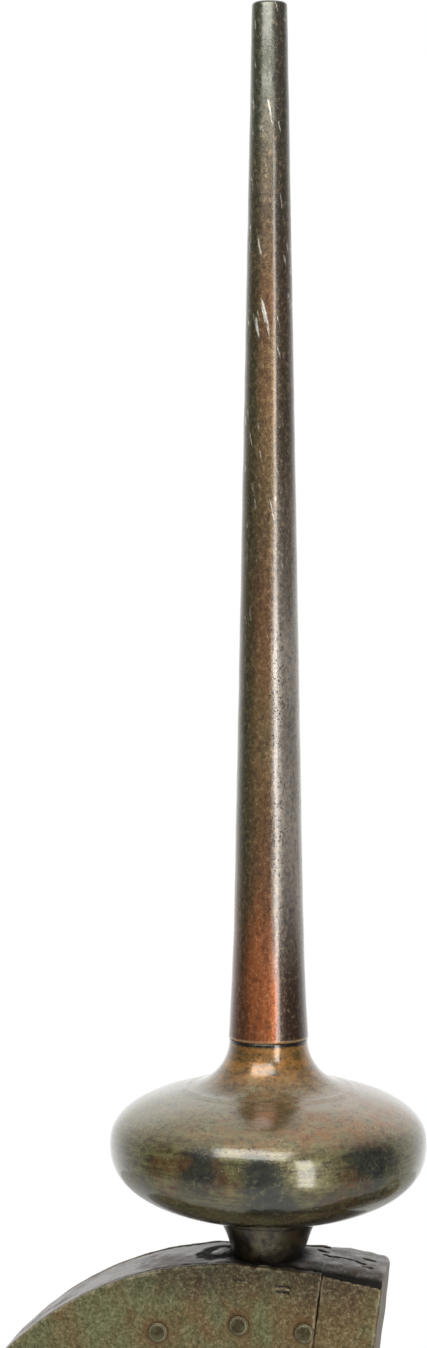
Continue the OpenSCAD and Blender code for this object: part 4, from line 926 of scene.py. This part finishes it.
def wornSteel():
    finish = newFinish("wornSteel")
    place = finish.place()
    smudge = finish.noise(place, 90, 6, 0.72)
    turned = finish.noise(finish.stretched(place, (1, 14, 1)), 160, 4, 0.6)
    colour = finish.mottled(finish.between(smudge, 0.42, 0.6), steel["grey"])
    colour = finish.laid(finish.between(smudge, 0.56, 0.66) * 0.7, colour, steel["rust"])
    colour = finish.laid(finish.edges(0.0008) * 0.5, colour, steel["edge"])
    # painted shade in corners and joints
    colour = finish.laid(finish.cornerShadeAndDust(0.006) * 0.85, colour, steel["cornerShadeAndDust"])
    return finish.surface(baseColor=colour, metallic=steel["metal"], roughness=0.30 + smudge * 0.25,
                          normal=finish.bump(turned + smudge * 0.5, steel["relief"], 0.6,
                                             finish.softened(steel["roundness"])))


brass = {
    "yellow": ("977640", "685430"), "verdigris": "4E5A44", "edge": "DCC084", "cornerShadeAndDust": "1E170C",
    "metal": 0.9, "relief": 0.0003, "roundness": 0.0006,
}


def dullBrass():
    finish = newFinish("dullBrass")
    place = finish.place()
    smudge = finish.noise(place, 70, 6, 0.72)
    colour = finish.mottled(finish.between(smudge, 0.34, 0.66), brass["yellow"])
    green = finish.between(finish.noise(place, 36, 5), 0.52, 0.72)
    colour = finish.laid(green * 0.4, colour, brass["verdigris"])
    colour = finish.laid(finish.edges(0.0009) * 0.6, colour, brass["edge"])
    # painted shade in corners and joints
    colour = finish.laid(finish.cornerShadeAndDust(0.006) * 0.8, colour, brass["cornerShadeAndDust"])
    return finish.surface(baseColor=colour, metallic=brass["metal"], roughness=0.28 + smudge * 0.2,
                          normal=finish.bump(smudge, brass["relief"], 0.6,
                                             finish.softened(brass["roundness"])))


post = {
    "green": ("2E3826", "3C4632"), "faded": "56593F", "rust": ("5C3620", "341F13"), "cornerShadeAndDust": "15120D",
    "relief": 0.0006,
}


def postPaint():
    # the tube's paint runs and fades downwards, and rusts from the joints
    finish = newFinish("postPaint")
    place = finish.place()
    height = finish.axis(place, "Z")
    streak = finish.noise(finish.stretched(place, (1, 1, 0.06)), 60, 5, 0.65)
    smudge = finish.noise(place, 40, 7, 0.72)
    grain = finish.noise(place, 240, 4, 0.7)
    colour = finish.mottled(finish.between(streak, 0.42, 0.6), post["green"])
    colour = finish.laid(finish.between(smudge, 0.52, 0.66) * 0.4, colour, post["faded"])
    rust = finish.between(smudge * 0.6 + streak * 0.4, 0.56, 0.60)
    low = finish.between(height, 0.60, 0.33) * 0.10 + finish.between(height, 1.05, 1.21) * 0.07
    rust = rust.maths("MAXIMUM", rust * 0.8, finish.between(smudge + low, 0.60, 0.64))
    brown = finish.mottled(finish.between(grain, 0.42, 0.58), post["rust"])
    colour = finish.blend(rust * 0.9, colour, brown)
    # painted shade in corners and joints
    colour = finish.laid(finish.cornerShadeAndDust(0.03) * 0.7, colour, post["cornerShadeAndDust"])
    return finish.surface(baseColor=colour, metallic=0.0, roughness=0.38 + rust * 0.35,
                          normal=finish.bump(smudge * 0.5 + grain * 0.3 - rust * 0.4, post["relief"], 0.8))


enamel = {
    "red": ("8E1C14", "741410"), "white": ("D9D4C4", "C4BCA6"), "black": "16161A", "chip": "2A1A12",
    "halo": "5A3420", "dirt": "3A3024", "cornerShadeAndDust": "15110C",
    "stripeFrom": 0.105, "stripeWide": 0.10, "stripeSoft": 0.0004,   # from the arm's tip
    "coat": 0.5, "relief": 0.0006, "roundness": 0.0008,
}


def armEnamel():
    # red with a white stripe in front, white with a black stripe behind, chipped at edges and bolts
    finish = newFinish("armEnamel")
    place = finish.place()
    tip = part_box("arm_blade")[0].x
    along = finish.axis(place, "X") - tip
    cloud = finish.noise(place, 10, 5, 0.6)
    smudge = finish.noise(place, 45, 7, 0.72)
    first, last = enamel["stripeFrom"], enamel["stripeFrom"] + enamel["stripeWide"]
    soft = enamel["stripeSoft"]
    stripe = finish.between(along, first - soft, first + soft)
    stripe = stripe * finish.between(along, last + soft, last - soft)
    red = finish.mottled(finish.between(cloud, 0.4, 0.6), enamel["red"])
    white = finish.mottled(finish.between(cloud, 0.4, 0.6), enamel["white"])
    front = finish.blend(stripe, red, white)
    back = finish.laid(stripe, white, enamel["black"])
    facing = finish.axis(finish.node("ShaderNodeTexCoord", out="Normal"), "Y")
    colour = finish.blend(finish.between(facing, -0.2, 0.2), front, back)
    worn = finish.edges(0.0035) * finish.between(smudge, 0.42, 0.50)
    blotch = smudge * 0.7 + cloud * 0.3
    chips = worn.maths("MAXIMUM", worn, finish.between(blotch, 0.60, 0.61))
    colour = finish.laid(finish.between(blotch, 0.575, 0.60) * 0.45, colour, enamel["halo"])
    colour = finish.laid(chips, colour, enamel["chip"])
    dirt = finish.noise(finish.stretched(place, (1, 1, 0.12)), 34, 5, 0.65)
    colour = finish.laid(finish.between(dirt, 0.52, 0.70) * 0.35, colour, enamel["dirt"])
    # painted shade in corners and round the bolts
    colour = finish.laid(finish.cornerShadeAndDust(0.014) * 0.7, colour, enamel["cornerShadeAndDust"])
    rough = 0.22 + chips * 0.45 + (smudge - 0.5) * 0.2
    relief = smudge * 0.3 + cloud - chips * 0.5
    return finish.surface(baseColor=colour, metallic=0.0, roughness=rough,
                          coatWeight=enamel["coat"] * (1 - chips), coatRoughness=0.12,
                          normal=finish.bump(relief, enamel["relief"], 0.7,
                                             finish.softened(enamel["roundness"])))


japan = {
    "black": ("17181A", "25221D"), "hot": "3A2C20", "chip": "6E6255", "cornerShadeAndDust": "0A0908",
    "coat": 0.6, "relief": 0.0008, "roundness": 0.0009,
}


def lampJapan():
    # black japanned sheet, gone brown where the lamp gets hot
    finish = newFinish("lampJapan")
    place = finish.place()
    cloud = finish.noise(place, 14, 6, 0.65)
    smudge = finish.noise(place, 60, 7, 0.72)
    colour = finish.mottled(finish.between(cloud, 0.42, 0.6), japan["black"])
    hot = finish.between(finish.axis(place, "Z") + (cloud - 0.5) * 0.1, 1.55, 1.64)
    colour = finish.laid(hot * 0.6, colour, japan["hot"])
    worn = finish.edges(0.0024) * finish.between(smudge, 0.42, 0.52)
    chips = worn.maths("MAXIMUM", worn, finish.between(smudge, 0.63, 0.66))
    colour = finish.laid(chips * 0.85, colour, japan["chip"])
    # painted shade in corners and joints
    colour = finish.laid(finish.cornerShadeAndDust(0.012) * 0.6, colour, japan["cornerShadeAndDust"])
    return finish.surface(baseColor=colour, metallic=0.2, roughness=0.26 + smudge * 0.2 + chips * 0.2,
                          coatWeight=japan["coat"] * (1 - chips), coatRoughness=0.15,
                          normal=finish.bump(smudge * 0.4 + cloud * 1.5, japan["relief"], 0.7,
                                             finish.softened(japan["roundness"])))


# each glass: its colour, the deeper colour in it, and its dust
glass = {
    "redGlass": ("C60603", "980201", "8E1410"),
    "greenGlass": ("048664", "035E46", "1C7A5C"),
    "lensGlass": ("EAF4EE", "D2E2D8", "8A8470"),
}


def signalGlass(name):
    # coloured glass with a film of dust, thickest at its rim
    finish = newFinish(name)
    place = finish.place()
    clear, deep, dust = glass[name]
    smudge = finish.noise(place, 60, 6, 0.7)
    ripple = finish.noise(place, 22, 3, 0.5)
    colour = finish.mottled(finish.between(smudge, 0.35, 0.7), (clear, deep))
    dirt = finish.between(finish.noise(place, 180, 5, 0.7), 0.40, 0.72) * 0.2 + 0.22
    dirt = dirt + finish.cornerShadeAndDust(0.010) * 0.4
    pane = finish.node("ShaderNodeBsdfPrincipled", inputs={
        "Base Color": colour, "Roughness": 0.04, "IOR": 1.5, "Transmission Weight": 1.0,
        "Normal": finish.bump(ripple, 0.0015, 0.5)})
    film = finish.node("ShaderNodeBsdfPrincipled", inputs={"Base Color": paint(dust), "Roughness": 0.7})
    mixed = finish.node("ShaderNodeMixShader", inputs=[dirt, pane, film])
    finish.node("ShaderNodeOutputMaterial", inputs={"Surface": mixed})
    return finish.owner


# the finish that each material slot of the record gets
finishes = {
    "cast_iron": ironPaint(), "black_iron": blackIron(), "bare_steel": wornSteel(), "brass": dullBrass(),
    "post_paint": postPaint(), "red_enamel": armEnamel(), "lamp_paint": lampJapan(),
    "red_glass": signalGlass("redGlass"), "green_glass": signalGlass("greenGlass"),
    "clear_glass": signalGlass("lensGlass"),
    "casing_bronze": rivetBronze(), "finial_bronze": seatBronze(),
}


def dressNodes():
    for part in nodes.values():
        slots = part.data.materials
        for i, old in enumerate(slots):
            slots[i] = finishes[old.name.split(".")[0]]


dressNodes()
print("carried-over pieces dressed")
